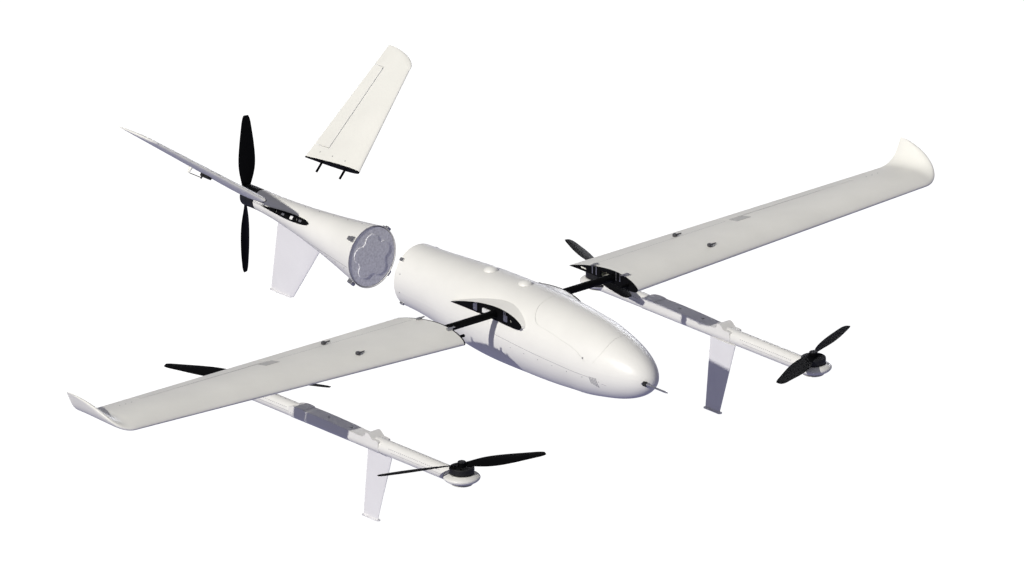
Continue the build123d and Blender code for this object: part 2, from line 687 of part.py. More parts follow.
LOCK_HOLE_X = (202.6, 293.1)
LOCK_HOLE_R = 4.5
CABLE_DUCT_R = 9.0
with BuildPart() as boom_beam_port:
    with BuildSketch(boom_axis_plane(REAR_MOTOR_X)):
        Circle(TUBE_R)
    extrude(amount=FRONT_MOTOR_X - REAR_MOTOR_X)
    add(saddle.part)
    add(wing_clearance.part, mode=Mode.SUBTRACT)
    # wide hollows in the bare tube, joined by a cable duct through the saddle
    for hollow_start, hollow_end, hollow_r in (
            (REAR_MOTOR_X + 30, SADDLE_REAR_X - 44, TUBE_R - 2),
            (HUMP_END_X + 12, FRONT_MOTOR_X - 30, TUBE_R - 2),
            (REAR_MOTOR_X + 30, FRONT_MOTOR_X - 30, CABLE_DUCT_R)):
        with BuildSketch(boom_axis_plane(hollow_start)):
            Circle(hollow_r)
        extrude(amount=hollow_end - hollow_start, mode=Mode.SUBTRACT)
    for motor_x in (FRONT_MOTOR_X, REAR_MOTOR_X):
        with BuildSketch(rib_face_plane(BOOM_Y)):
            with BuildLine():
                Line((motor_x, POD_TOP_Z), (motor_x + BELL_R + 1.5, POD_TOP_Z))
                Spline((motor_x + BELL_R + 1.5, POD_TOP_Z), (motor_x + POD_WIDE_R, POD_RIM_Z),
                       (motor_x + POD_WIDE_R - 8, POD_RIM_Z - 9), (motor_x + 20, POD_BOTTOM_Z + 2.5),
                       (motor_x, POD_BOTTOM_Z), tangents=[(1, -0.35), (-1, 0)])
                Line((motor_x, POD_BOTTOM_Z), (motor_x, POD_TOP_Z))
            make_face()
        revolve(axis=Axis((motor_x, BOOM_Y, 0), (0, 0, 1)))
        with BuildSketch(Plane.XY.offset(POD_TOP_Z)):
            with Locations((motor_x, BOOM_Y)):
                Circle(BELL_R + 1.5)
        extrude(amount=20, mode=Mode.SUBTRACT)
    with BuildSketch(Plane.XY.offset(BOOM_AXIS_Z)):
        for x in LOCK_HOLE_X:
            with Locations((x, BOOM_Y)):
                Circle(LOCK_HOLE_R)
    extrude(amount=60, mode=Mode.SUBTRACT)
save(boom_beam_port.part, "boom_beam_port")

LEG_TOP_Z = BOOM_AXIS_Z - 15.5
with BuildPart() as landing_leg_port:
    leg_sections = []
    for z, fore, aft, thickness in ((FOOT_T, 377.2, 321.0, 0.085), (LEG_TOP_Z, 438.5, 340.0, 0.10)):
        leg_plane = Plane(origin=(fore, LEG_Y, z), x_dir=(-1, 0, 0), z_dir=(0, 0, 1))
        leg_sections.append(airfoil(leg_plane, fore - aft, thickness, 0.0))
    loft(sections=leg_sections, ruled=True)
    with BuildSketch(Plane.XY):
        with Locations((350, LEG_Y)):
            SlotOverall(66, 13)
    extrude(amount=FOOT_T)
    add(saddle.part, mode=Mode.SUBTRACT)
    add(boom_beam_port.part, mode=Mode.SUBTRACT)
save(landing_leg_port.part, "landing_leg_port")

STATOR_BASE_T = 3.0
BELL_LOW_Z = POD_TOP_Z + STATOR_BASE_T + 0.8
BELL_TOP_Z = PROP_Z - 6.0
SHAFT_R = 3.0
with BuildPart() as lift_stators_port:
    for motor_x in (FRONT_MOTOR_X, REAR_MOTOR_X):
        with BuildSketch(Plane.XY.offset(POD_TOP_Z)):
            with Locations((motor_x, BOOM_Y)):
                Circle(BELL_R - 3)
                with PolarLocations(19, 4, 45):
                    Circle(1.7, mode=Mode.SUBTRACT)
        extrude(amount=STATOR_BASE_T)
        with BuildSketch(Plane.XY.offset(POD_TOP_Z + STATOR_BASE_T)):
            with Locations((motor_x, BOOM_Y)):
                Circle(10)
                with PolarLocations(17, 12):
                    Rectangle(18, 3.4)
                with PolarLocations(25.6, 12):
                    Rectangle(3, 10)
        extrude(amount=BELL_TOP_Z - POD_TOP_Z - STATOR_BASE_T - 4.5)
        with BuildSketch(Plane.XY.offset(POD_TOP_Z)):
            with Locations((motor_x, BOOM_Y)):
                Circle(SHAFT_R + 0.05)
        extrude(amount=40, mode=Mode.SUBTRACT)
save(lift_stators_port.part, "lift_stators_port")


def motor_bell(plane, radius, height, shaft):
    """Rotor bell that opens towards the plane's back. The plane lies on its open rim."""
    with BuildPart() as bell:
        with BuildSketch(plane):
            Circle(radius)
            Circle(radius - 2.2, mode=Mode.SUBTRACT)
        extrude(amount=height - 3)
        with BuildSketch(plane.offset(height - 3)):
            Circle(radius)
            with PolarLocations(radius * 0.62, 8):
                SlotOverall(radius * 0.42, radius * 0.20, mode=Mode.SUBTRACT)
        extrude(amount=3)
        crown = bell.faces().sort_by(Axis(plane.origin, plane.z_dir))[-1]
        chamfer(crown.edges().sort_by(SortBy.LENGTH)[-1], 1.6)
        with BuildSketch(plane.offset(-shaft)):
            Circle(SHAFT_R)
        extrude(amount=shaft + height - 1)
    return bell.part


def propeller(plane, radius, blade, hub_radius, hub_height, turn, hand):
    """Two-blade propeller on a plane at its disc. blade lists share of radius, chord and pitch angle."""
    with BuildPart() as prop:
        with BuildSketch(plane.offset(-hub_height / 2)):
            Circle(hub_radius)
        extrude(amount=hub_height)
        for side in (0, 180):
            angle = math.radians(turn + side)
            out = plane.x_dir * math.cos(angle) + plane.y_dir * math.sin(angle)
            around = (plane.y_dir * math.cos(angle) - plane.x_dir * math.sin(angle)) * hand
            sections = []
            for share, chord, pitch in blade:
                lift = math.radians(pitch)
                ahead = around * math.cos(lift) + plane.z_dir * math.sin(lift)
                place = plane.origin + out * (radius * share)
                with BuildSketch(Plane(origin=place, x_dir=ahead, z_dir=out)) as section:
                    with BuildLine():
                        Spline((chord * 0.42, 0), (0, chord * 0.07), (-chord * 0.58, 0))
                        Spline((-chord * 0.58, 0), (0, -chord * 0.045), (chord * 0.42, 0))
                    make_face()
                sections.append(section.sketch)
            loft(sections=sections)
    return prop.part


LIFT_BLADE = ((0.02, 14, 26), (0.10, 20, 25), (0.22, 33, 21), (0.36, 43, 17), (0.52, 44, 14),
              (0.70, 38, 11), (0.86, 30, 9), (0.96, 23, 8), (1.0, 15, 7))
LIFT_ROTORS = {
    "fore_port": (FRONT_MOTOR_X, BOOM_Y, 115.0, -1),
    "aft_port": (REAR_MOTOR_X, BOOM_Y, -20.5, 1),
    "fore_starboard": (FRONT_MOTOR_X, -BOOM_Y, 70.0, 1),
    "aft_starboard": (REAR_MOTOR_X, -BOOM_Y, 28.0, -1),
}
for place, (x, y, turn, hand) in LIFT_ROTORS.items():
    bell_plane = Plane(origin=(x, y, BELL_LOW_Z), x_dir=(1, 0, 0), z_dir=(0, 0, 1))
    save(motor_bell(bell_plane, BELL_R, BELL_TOP_Z - BELL_LOW_Z, 3.0), f"lift_bell_{place}")
    prop_plane = Plane(origin=(x, y, PROP_Z), x_dir=(1, 0, 0), z_dir=(0, 0, 1))
    save(propeller(prop_plane, LIFT_PROP_R, LIFT_BLADE, 11, 2 * (PROP_Z - BELL_TOP_Z), turn, hand),
         f"lift_propeller_{place}")

# ------------------------------------------------------------------ tail


def cone_station(x):
    """Centre height and radius of the tail cone at a station x."""
    t = (TAIL_FRONT_X - x) / (TAIL_FRONT_X - TAIL_REAR_X)
    centre = mix(PUSHER_Z, FUSE_REAR_Z, (1 - t) ** CONE_RISE)
    return centre, mix(CONE_REAR_R, FUSE_REAR_R, (1 - t) ** CONE_TAPER)


def cone_loft(stations, wall=0.0):
    """Cone through round sections, less a wall thickness."""
    sections = []
    for x in stations:
        centre, radius = cone_station(x)
        plane = Plane(origin=(x, 0, centre), x_dir=(0, 1, 0), z_dir=(1, 0, 0))
        with BuildSketch(plane) as section:
            Ellipse(mix(FUSE_WIDTH_RATIO, 1, (TAIL_FRONT_X - x) / 200) * radius - wall, radius - wall)
        sections.append(section.sketch)
    with BuildPart() as body:
        loft(sections=sections)
    return body.part


CONE_REAR_R = 28.5
CONE_TAPER = 1.6            # exponents of the radius and of the centre line's height
CONE_RISE = 1.15
TAIL_BULKHEAD_T = 6.0
FIREWALL_T = 8.0
CONE_STATIONS = [-380, -430, -490, -560, -630, -700]
cone_outer = cone_loft([TAIL_FRONT_X, *CONE_STATIONS, TAIL_REAR_X])
cone_inner = cone_loft([TAIL_FRONT_X + 1, *CONE_STATIONS, TAIL_REAR_X + FIREWALL_T], SHELL)

fin_slide = Vector(*FIN_SLIDE).normalized()
FIN_TRAVEL = Vector(*FIN_SLIDE).length
CANT = math.radians(FIN_CANT)
TOE = math.radians(FIN_TOE)
fin_out = Vector(0, math.cos(CANT), math.sin(CANT))
fin_aft = Vector(-math.cos(TOE), 0, 0) - fin_out * math.sin(TOE)
fin_face = Vector(-math.sin(TOE), 0, 0) + fin_out * math.cos(TOE)
FIN_THICKNESS = 0.095
FIN_SEAT_GAP = 1.0
fin_root = Vector(*FIN_ROOT)
fin_seat = fin_root + fin_slide * FIN_TRAVEL - fin_face * FIN_SEAT_GAP


def fin_root_plane(origin):
    """Section plane of a fin's root, toed in with the cone."""
    return Plane(origin=origin, x_dir=fin_aft, z_dir=fin_face)


def symmetric(plane, chord, start=0.0, end=1.0, wall=0.0):
    """Fin airfoil."""
    return airfoil(plane, chord, FIN_THICKNESS, 0.0, start, end, wall)


# stubs of the V-tail on the cone
with BuildPart() as tail_stub:
    buried = fin_seat - fin_face * 34 - fin_aft * 8
    loft(sections=[
        symmetric(fin_root_plane(buried), FIN_ROOT_CHORD + 30),
        symmetric(fin_root_plane(fin_seat - fin_face * STUB_RIB_T), FIN_ROOT_CHORD),
    ])
    add(cone_inner, mode=Mode.SUBTRACT)

with BuildPart() as tail_rib:
    extrude(symmetric(fin_root_plane(fin_seat - fin_face * STUB_RIB_T), FIN_ROOT_CHORD), amount=STUB_RIB_T)

FIN_PIN_SHARES = (0.25, 0.68)
FIN_PIN_R = 3.2
FIN_PIN_LENGTH = 34.0


def pins(origin, radius, length):
    """Two locating pins of a fin, from its root face along the way it slides home."""
    with BuildPart() as pair:
        for share in FIN_PIN_SHARES:
            place = origin + fin_aft * (FIN_ROOT_CHORD * share)
            with BuildSketch(Plane(origin=place, x_dir=(1, 0, 0.2), z_dir=fin_slide)):
                Circle(radius)
            extrude(amount=length)
    return pair.part


pin_root = fin_root + fin_face * 2
socket_start = pin_root + fin_slide * (FIN_TRAVEL - 6)
fin_sockets = pins(socket_start, FIN_PIN_R + SOCKET_CLEARANCE + 0.1, FIN_PIN_LENGTH + 12)

with BuildPart() as fin_sockets_starboard:
    mirror(fin_sockets, about=Plane.XZ)

with BuildPart() as tail_stub_ribs:
    add(tail_rib.part)
    add(fin_sockets, mode=Mode.SUBTRACT)
    mirror(tail_stub_ribs.part, about=Plane.XZ)
    add(cone_outer, mode=Mode.SUBTRACT)
save(tail_stub_ribs.part, "tail_stub_ribs")

with BuildPart() as tail_cone:
    add(cone_outer)
    add(cone_inner, mode=Mode.SUBTRACT)
    add(tail_stub.part)
    add(fin_sockets, mode=Mode.SUBTRACT)
    mirror(tail_stub.part, about=Plane.XZ)
    add(fin_sockets_starboard.part, mode=Mode.SUBTRACT)
    add(tail_stub_ribs.part, mode=Mode.SUBTRACT)
save(tail_cone.part, "tail_cone")

# front bulkhead with a raised pad of a lobed outline
with BuildPart() as tail_bulkhead:
    with BuildSketch(Plane.YZ.offset(TAIL_FRONT_X - TAIL_BULKHEAD_T)):
        with Locations((0, FUSE_REAR_Z)):
            Ellipse(FUSE_REAR_R * FUSE_WIDTH_RATIO - SHELL - 2.4, FUSE_REAR_R - SHELL - 2.4)
    extrude(amount=TAIL_BULKHEAD_T - 1.5)
    with BuildSketch(Plane.YZ.offset(TAIL_FRONT_X - 1.5)):
        with Locations((0, FUSE_REAR_Z)):
            Circle(46)
            with PolarLocations(40, 5, 90):
                Circle(22)
    extrude(amount=1.5)
save(tail_bulkhead.part, "tail_bulkhead")

with BuildPart() as tail_latches:
    for angle in RIM_ANGLES:
        outward = (0, math.cos(math.radians(angle)), math.sin(math.radians(angle)))
        latch_plane = Plane(origin=(TAIL_FRONT_X - 14, 0, FUSE_REAR_Z), x_dir=(1, 0, 0), z_dir=outward)
        with BuildSketch(latch_plane.offset(FUSE_REAR_R - 16)):
            RectangleRounded(22, 11, 2)
        extrude(amount=19)
        with BuildSketch(latch_plane.offset(FUSE_REAR_R - 2)):
            with Locations((6, 0)):
                RectangleRounded(10, 15, 2)
        extrude(amount=7)
    add(cone_outer, mode=Mode.SUBTRACT)
    add(tail_bulkhead.part, mode=Mode.SUBTRACT)
save(tail_latches.part, "tail_latches")

# ventral fin under the cone, with a thin skid along its foot
VENTRAL_FOOT_Z = 177.0
with BuildPart() as ventral_fin:
    ventral_sections = []
    for z, fore, aft, thickness in (
            (VENTRAL_FOOT_Z + FOOT_T, -640.0, -730.0, 0.085), (415.0, -480.0, -696.0, 0.062)):
        ventral_plane = Plane(origin=(fore, 0, z), x_dir=(-1, 0, 0), z_dir=(0, 0, 1))
        ventral_sections.append(airfoil(ventral_plane, fore - aft, thickness, 0.0))
    loft(sections=ventral_sections, ruled=True)
    with BuildSketch(Plane.XY.offset(VENTRAL_FOOT_Z)):
        with Locations((-690, 0)):
            SlotOverall(84, 13)
    extrude(amount=FOOT_T)
    add(cone_outer, mode=Mode.SUBTRACT)
save(ventral_fin.part.solids().sort_by(Axis.Z)[0], "ventral_fin")

# pusher motor: stator on the cone's firewall, bell behind it, propeller with a small spinner nut
PUSHER_BELL_R = 28.5
aft_plane = Plane(origin=(TAIL_REAR_X, 0, PUSHER_Z), x_dir=(0, 1, 0), z_dir=(-1, 0, 0))
PUSHER_BASE_T = 4.0
PUSHER_BELL_H = 51.0
with BuildPart() as pusher_stator:
    with BuildSketch(aft_plane):
        Circle(CONE_REAR_R - 4)
    extrude(amount=PUSHER_BASE_T)
    with BuildSketch(aft_plane.offset(PUSHER_BASE_T)):
        Circle(9)
        with PolarLocations(15, 12):
            Rectangle(16, 3)
        with PolarLocations(22.6, 12):
            Rectangle(3, 9)
    extrude(amount=PUSHER_BELL_H - 6)
    with BuildSketch(aft_plane):
        Circle(SHAFT_R + 0.05)
    extrude(amount=60, mode=Mode.SUBTRACT)
save(pusher_stator.part, "pusher_stator")

pusher_bell_plane = aft_plane.offset(PUSHER_BASE_T + 1)
save(motor_bell(pusher_bell_plane, PUSHER_BELL_R, PUSHER_BELL_H, 4.0), "pusher_bell")

PUSHER_BLADE = ((0.03, 17, 34), (0.12, 24, 34), (0.25, 38, 28), (0.38, 46, 23), (0.54, 45, 19),
                (0.72, 38, 15), (0.88, 29, 13), (0.96, 22, 12), (1.0, 14, 12))
PUSHER_HUB_H = 16.0
pusher_disc = Plane(origin=(PUSHER_PROP_X, 0, PUSHER_Z), x_dir=(0, 1, 0), z_dir=(-1, 0, 0))
with BuildPart() as pusher_propeller:
    add(propeller(pusher_disc, PUSHER_PROP_R, PUSHER_BLADE, 12, PUSHER_HUB_H, 90, -1))
    nut_length = PUSHER_PROP_X - PUSHER_HUB_H / 2 - SPINNER_TIP_X
    with BuildSketch(pusher_disc.offset(PUSHER_HUB_H / 2)):
        RegularPolygon(8, 6)
    extrude(amount=nut_length * 0.55)
    with BuildSketch(pusher_disc.offset(PUSHER_HUB_H / 2)):
        Circle(4)
    extrude(amount=nut_length)
save(pusher_propeller.part, "pusher_propeller")

# ------------------------------------------------------------------ V-tail fins


def fin_station(s):
    """Leading edge place, chord of the fin at a distance s along its span from the root."""
    ahead = FIN_SWEEP * s / FIN_TAPER_SPAN
    aft = FIN_ROOT_CHORD + FIN_TE_SWEEP * s / FIN_SPAN
    if s > FIN_TAPER_SPAN:
        t = (s - FIN_TAPER_SPAN) / (FIN_SPAN - FIN_TAPER_SPAN)
        straight = aft - FIN_SWEEP
        ahead = aft - straight * math.sqrt(max(1 - t ** 2, 0))
    return fin_root + fin_out * s + Vector(-ahead, 0, 0), aft - ahead


def fin_section(s, hollow=False):
    """Fin airfoil at a distance s along its span, or the hollow inside its skin."""
    place, chord = fin_station(s)
    plane = Plane(origin=place, x_dir=(-1, 0, 0), z_dir=fin_out)
    if hollow:
        return symmetric(plane, chord, 0.04, 0.64, 1.6)
    return symmetric(plane, chord)


def fin_surface(s, share):
    """Point on the fin's upper skin."""
    place, chord = fin_station(s)
    top = airfoil_height(share, FIN_THICKNESS, 0.0)[0]
    upward = Vector(0, -math.sin(CANT), math.cos(CANT))
    return place + Vector(-chord * share, 0, 0) + upward * (top * chord)


FIN_START = 16.0
with BuildPart() as fin_outer:
    root_section = symmetric(fin_root_plane(fin_root + fin_face * STUB_RIB_T), FIN_ROOT_CHORD)
    loft(sections=[root_section, fin_section(FIN_START + 2)], ruled=True)
    loft(sections=[fin_section(FIN_START + 2), fin_section(FIN_TAPER_SPAN)], ruled=True)
    tip_sections = []
    for share in (0, 0.25, 0.48, 0.67, 0.82, 0.92, 0.975):
        tip_sections.append(fin_section(mix(FIN_TAPER_SPAN, FIN_SPAN, share)))
    loft(sections=tip_sections)

RUDDER_SPAN = (34.0, 310.0)
RUDDER_FRACTION = 0.70
rudder_hinge = [fin_surface(s, RUDDER_FRACTION) for s in RUDDER_SPAN]
fin_normal = (fin_out.X, fin_out.Y, fin_out.Z)

with BuildPart() as fin_core:
    loft(sections=[fin_section(FIN_START + 6, True), fin_section(FIN_TAPER_SPAN - 6, True)], ruled=True)

with BuildPart() as fin_panel_port:
    add(fin_outer.part)
    add(fin_core.part, mode=Mode.SUBTRACT)
    add(hinge_wedge(rudder_hinge[0], rudder_hinge[1], fin_normal, 0.0, GAP), mode=Mode.SUBTRACT)
save(fin_panel_port.part, "fin_panel_port")

HORN_S = RUDDER_SPAN[0] + 96
with BuildPart() as ruddervator_port:
    add(fin_outer.part)
    add(hinge_wedge(rudder_hinge[0], rudder_hinge[1], fin_normal, 30.0, 0.0), mode=Mode.INTERSECT)
    horn_place = fin_station(HORN_S)[0] + Vector(-fin_station(HORN_S)[1] * (RUDDER_FRACTION + 0.07), 0, 0)
    with BuildSketch(Plane(origin=horn_place, x_dir=(-1, 0, 0), z_dir=fin_out)):
        with BuildLine():
            Polyline((-8, -2), (8, -2), (2, -20), (-4, -20), close=True)
        make_face()
        with Locations((-1, -17)):
            Circle(1.0, mode=Mode.SUBTRACT)
    extrude(amount=2.5)
save(ruddervator_port.part, "ruddervator_port")

with BuildPart() as fin_root_rib_port:
    extrude(symmetric(fin_root_plane(fin_root), FIN_ROOT_CHORD), amount=STUB_RIB_T)
    add(pins(pin_root, FIN_PIN_R, FIN_PIN_LENGTH))
save(fin_root_rib_port.part, "fin_root_rib_port")

# ruddervator servo under the fin, its arm and pushrod beside the horn
servo_place, servo_chord = fin_station(HORN_S - 5)
servo_plane = Plane(origin=servo_place + Vector(-servo_chord * 0.46, 0, 0), x_dir=(-1, 0, 0), z_dir=fin_out)
with BuildPart() as fin_servo_port:
    with BuildSketch(servo_plane.offset(-14)):
        with Locations((0, -9)):
            RectangleRounded(30, 12, 2.5)
    extrude(amount=16)
    with BuildSketch(servo_plane.offset(2.4)):
        with Locations((4, -15)):
            SlotOverall(14, 5, rotation=90)
    extrude(amount=2.2)
    rod_start = servo_plane.from_local_coords((4, -19, 3.5))
    with BuildSketch(Plane(origin=rod_start, x_dir=fin_out, z_dir=(-1, 0, 0))):
        Circle(1.1)
    extrude(amount=FIN_ROD_LENGTH)
    add(fin_panel_port.part, mode=Mode.SUBTRACT)
save(fin_servo_port.part, "fin_servo_port")

# ------------------------------------------------------------------ starboard side

PORT_PARTS = {
    "wing_panel": wing_panel_port,
    "winglet": winglet_port,
    "wing_root_rib": wing_root_rib_port,
    "wing_latches": wing_latches_port,
    "aileron": aileron_port,
    "aileron_servo": aileron_servo_port,
    "boom_beam": boom_beam_port,
    "landing_leg": landing_leg_port,
    "lift_stators": lift_stators_port,
    "fin_panel": fin_panel_port,
    "fin_root_rib": fin_root_rib_port,
    "fin_servo": fin_servo_port,
    "ruddervator": ruddervator_port,
}
for name, port in PORT_PARTS.items():
    with BuildPart() as starboard:
        mirror(port.part, about=Plane.XZ)
    save(starboard.part, f"{name}_starboard")
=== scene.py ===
import json
import math

import bmesh
import bpy
from mathutils import Matrix, Vector
from mathutils.bvhtree import BVHTree


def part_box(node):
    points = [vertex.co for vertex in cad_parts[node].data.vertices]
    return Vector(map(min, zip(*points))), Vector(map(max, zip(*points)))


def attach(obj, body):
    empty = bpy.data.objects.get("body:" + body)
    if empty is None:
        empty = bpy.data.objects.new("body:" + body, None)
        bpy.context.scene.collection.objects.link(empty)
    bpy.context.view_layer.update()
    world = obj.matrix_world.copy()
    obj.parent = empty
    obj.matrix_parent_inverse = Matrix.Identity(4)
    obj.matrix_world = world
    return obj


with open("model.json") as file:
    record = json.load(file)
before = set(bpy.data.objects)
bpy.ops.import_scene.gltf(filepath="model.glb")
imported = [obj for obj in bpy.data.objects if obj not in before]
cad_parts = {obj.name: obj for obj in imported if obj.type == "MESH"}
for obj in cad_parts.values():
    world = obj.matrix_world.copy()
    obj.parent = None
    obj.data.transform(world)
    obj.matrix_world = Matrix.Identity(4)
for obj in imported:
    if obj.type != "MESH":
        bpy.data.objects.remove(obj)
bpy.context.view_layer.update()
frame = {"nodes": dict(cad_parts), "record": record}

scene = bpy.context.scene
nodes = frame["nodes"]
SIDES = (("port", 1.0), ("starboard", -1.0))
ENDS = ("fore", "aft")
UP = Vector((0, 0, 1))
DOWN = Vector((0, 0, -1))
FORWARD = Vector((1, 0, 0))
BACK = Vector((-1, 0, 0))

# sizes that several details share, in metres
RAY_START = 0.6             # ray casts start this far off the skin
RAISE = 0.00018             # seams and covers stand this proud, to read as fine lines
SINK = 0.0004               # and reach this deep into the skin
SEAM_WIDTH = 0.0010
SCREW_HEIGHT = 0.0004
PLATE_T = 0.0003            # plates on closing faces are thin, so that the closed modules clear them
PLATE_EDGE = PLATE_T / 4
FIN_ANGLE = math.radians(35.3)


# ------------------------------------------------------------------ camera, light and floor

VIEW_RIGHT = Vector((0.6575, 0.7535, 0.0)).normalized()
VIEW_UP = Vector((-0.2650, 0.2312, 0.9361)).normalized()
VIEW_BACK = VIEW_RIGHT.cross(VIEW_UP).normalized()
VIEW_CENTRE = Vector((0.20256, 0.0, 0.23852))
SHIFT_RIGHT = 0.01759       # from the view's centre to the frame's, in metres
SHIFT_UP = 0.19583
VIEW_WIDTH = 2.649          # metres across the frame
LENS = 800.0                # a long lens from far away, so that the view is all but parallel
SENSOR = 36.0
VIEW_DISTANCE = VIEW_WIDTH * LENS / SENSOR

FLOOR_REACH = 14.0
FLOOR_Z = -0.001
KEY_TOWARDS = (0.119, -0.849, 0.515)
KEY_STRENGTH = 3.3
KEY_COLOUR = (1.0, 0.975, 0.93)
KEY_WIDTH = 1.0             # degrees
FILL_TOWARDS = (-0.55, 0.82, 0.16)
FILL_STRENGTH = 0.55
FILL_COLOUR = (0.95, 0.96, 1.0)
FILL_WIDTH = 20.0
SKY_STRENGTH = 0.25
SKY_BELOW = (0.82, 0.82, 1.36)
SKY_ABOVE = (0.88, 0.88, 1.02)


def add_camera():
    """Long-lens camera that looks from the starboard bow, a little from above."""
    target = VIEW_CENTRE + VIEW_RIGHT * SHIFT_RIGHT + VIEW_UP * SHIFT_UP
    data = bpy.data.cameras.new("camera")
    data.sensor_width = SENSOR
    data.lens = LENS
    data.clip_start = 1.0
    data.clip_end = 2 * VIEW_DISTANCE
    camera = bpy.data.objects.new("camera", data)
    turn = Matrix((VIEW_RIGHT, VIEW_UP, VIEW_BACK)).transposed().to_4x4()
    camera.matrix_world = Matrix.Translation(target + VIEW_BACK * VIEW_DISTANCE) @ turn
    scene.collection.objects.link(camera)
    scene.camera = camera


def add_sun(name, towards, strength, colour, width):
    """Sun lamp that shines from the direction towards."""
    data = bpy.data.lights.new(name, "SUN")
    data.energy = strength
    data.color = colour
    data.angle = math.radians(width)
    lamp = bpy.data.objects.new(name, data)
    lamp.rotation_euler = Vector(towards).to_track_quat("Z", "Y").to_euler()
    scene.collection.objects.link(lamp)


def add_floor():
    """Plain pale floor that lights itself evenly and throws no light on the object."""
    mesh = bpy.data.meshes.new("floor")
    corners = [(x * FLOOR_REACH, y * FLOOR_REACH, FLOOR_Z) for x, y in ((-1, -1), (1, -1), (1, 1), (-1, 1))]
    mesh.from_pydata(corners, [], [(0, 1, 2, 3)])
    floor = bpy.data.objects.new("floor", mesh)
    scene.collection.objects.link(floor)
    floor.visible_diffuse = False
    floor.visible_glossy = False
    material = bpy.data.materials.new("floor_white")
    material.use_nodes = True
    shader = material.node_tree.nodes["Principled BSDF"]
    shader.inputs["Base Color"].default_value = (0.1, 0.1, 0.1, 1)
    shader.inputs["Roughness"].default_value = 1.0
    shader.inputs["Emission Color"].default_value = (1, 1, 1, 1)
    shader.inputs["Emission Strength"].default_value = 1.0
    mesh.materials.append(material)


def add_light():
    """Warm key light from the starboard side, a weak fill from the port quarter, and a cool sky."""
    scene.view_settings.view_transform = "Standard"
    add_sun("key", KEY_TOWARDS, KEY_STRENGTH, KEY_COLOUR, KEY_WIDTH)
    add_sun("fill", FILL_TOWARDS, FILL_STRENGTH, FILL_COLOUR, FILL_WIDTH)
    world = bpy.data.worlds.new("sky")
    world.use_nodes = True
    scene.world = world
    tree = world.node_tree
    sky = tree.nodes["Background"]
    sky.inputs["Strength"].default_value = SKY_STRENGTH
    # bluer from below
    place = tree.nodes.new("ShaderNodeTexCoord")
    split = tree.nodes.new("ShaderNodeSeparateXYZ")
    tree.links.new(place.outputs["Generated"], split.inputs[0])
    height = tree.nodes.new("ShaderNodeMapRange")
    height.inputs["From Min"].default_value = -1.0
    tree.links.new(split.outputs["Z"], height.inputs["Value"])
    tree.links.new(ramp(tree, height.outputs[0], 0.35, 0.65, SKY_BELOW, SKY_ABOVE), sky.inputs["Color"])
    # the camera sees plain white behind the object
    backdrop = tree.nodes.new("ShaderNodeBackground")
    backdrop.inputs["Color"].default_value = (1, 1, 1, 1)
    path = tree.nodes.new("ShaderNodeLightPath")
    choose = tree.nodes.new("ShaderNodeMixShader")
    tree.links.new(path.outputs["Is Camera Ray"], choose.inputs[0])
    tree.links.new(sky.outputs[0], choose.inputs[1])
    tree.links.new(backdrop.outputs[0], choose.inputs[2])
    tree.links.new(choose.outputs[0], tree.nodes["World Output"].inputs["Surface"])


# ------------------------------------------------------------------ materials


def socket(shader, name, value):
    """Sets one plain value on a shader."""
    shader.inputs[name].default_value = value


def noise(tree, scale, detail=4.0, stretch=(1, 1, 1)):
    """Noise in object space, stretched along the axes."""
    place = tree.nodes.new("ShaderNodeTexCoord")
    mapping = tree.nodes.new("ShaderNodeMapping")
    mapping.inputs["Scale"].default_value = stretch
    texture = tree.nodes.new("ShaderNodeTexNoise")
    texture.inputs["Scale"].default_value = scale
    texture.inputs["Detail"].default_value = detail
    tree.links.new(place.outputs["Object"], mapping.inputs["Vector"])
    tree.links.new(mapping.outputs["Vector"], texture.inputs["Vector"])
    return texture.outputs["Fac"]


def ramp(tree, source, low, high, colour_low, colour_high):
    """Colour ramp between two colours."""
    node = tree.nodes.new("ShaderNodeValToRGB")
    node.color_ramp.elements[0].position = low
    node.color_ramp.elements[1].position = high
    node.color_ramp.elements[0].color = (*colour_low, 1)
    node.color_ramp.elements[1].color = (*colour_high, 1)
    tree.links.new(source, node.inputs["Fac"])
    return node.outputs["Color"]


def bump(tree, source, strength, distance):
    """Fine relief from a height."""
    node = tree.nodes.new("ShaderNodeBump")
    node.inputs["Strength"].default_value = strength
    node.inputs["Distance"].default_value = distance
    tree.links.new(source, node.inputs["Height"])
    return node.outputs["Normal"]


def shade(colour, factor):
    """A colour made lighter or darker."""
    return tuple(min(channel * factor, 1.0) for channel in colour)


def new_material(name):
    """Empty material with its shader."""
    material = bpy.data.materials.new(name)
    material.use_nodes = True
    return material, material.node_tree, material.node_tree.nodes["Principled BSDF"]


def paint(name, colour, roughness=0.42, mottle=0.03):
    """Sprayed paint on a moulded shell: faint mottling, orange peel and uneven gloss."""
    material, tree, shader = new_material(name)
    cloud = noise(tree, 9.0, 6.0)
    tree.links.new(ramp(tree, cloud, 0.3, 0.7, shade(colour, 1 - mottle), shade(colour, 1 + mottle)),
                   shader.inputs["Base Color"])
    gloss = noise(tree, 24.0, 3.0)
    tree.links.new(ramp(tree, gloss, 0.2, 0.8, (roughness - 0.04,) * 3, (roughness + 0.06,) * 3),
                   shader.inputs["Roughness"])
    tree.links.new(bump(tree, noise(tree, 420.0, 2.0), 0.06, 0.0004), shader.inputs["Normal"])
    socket(shader, "Coat Weight", 0.12)
    socket(shader, "Coat Roughness", 0.25)
    socket(shader, "Specular IOR Level", 0.35)
    return material


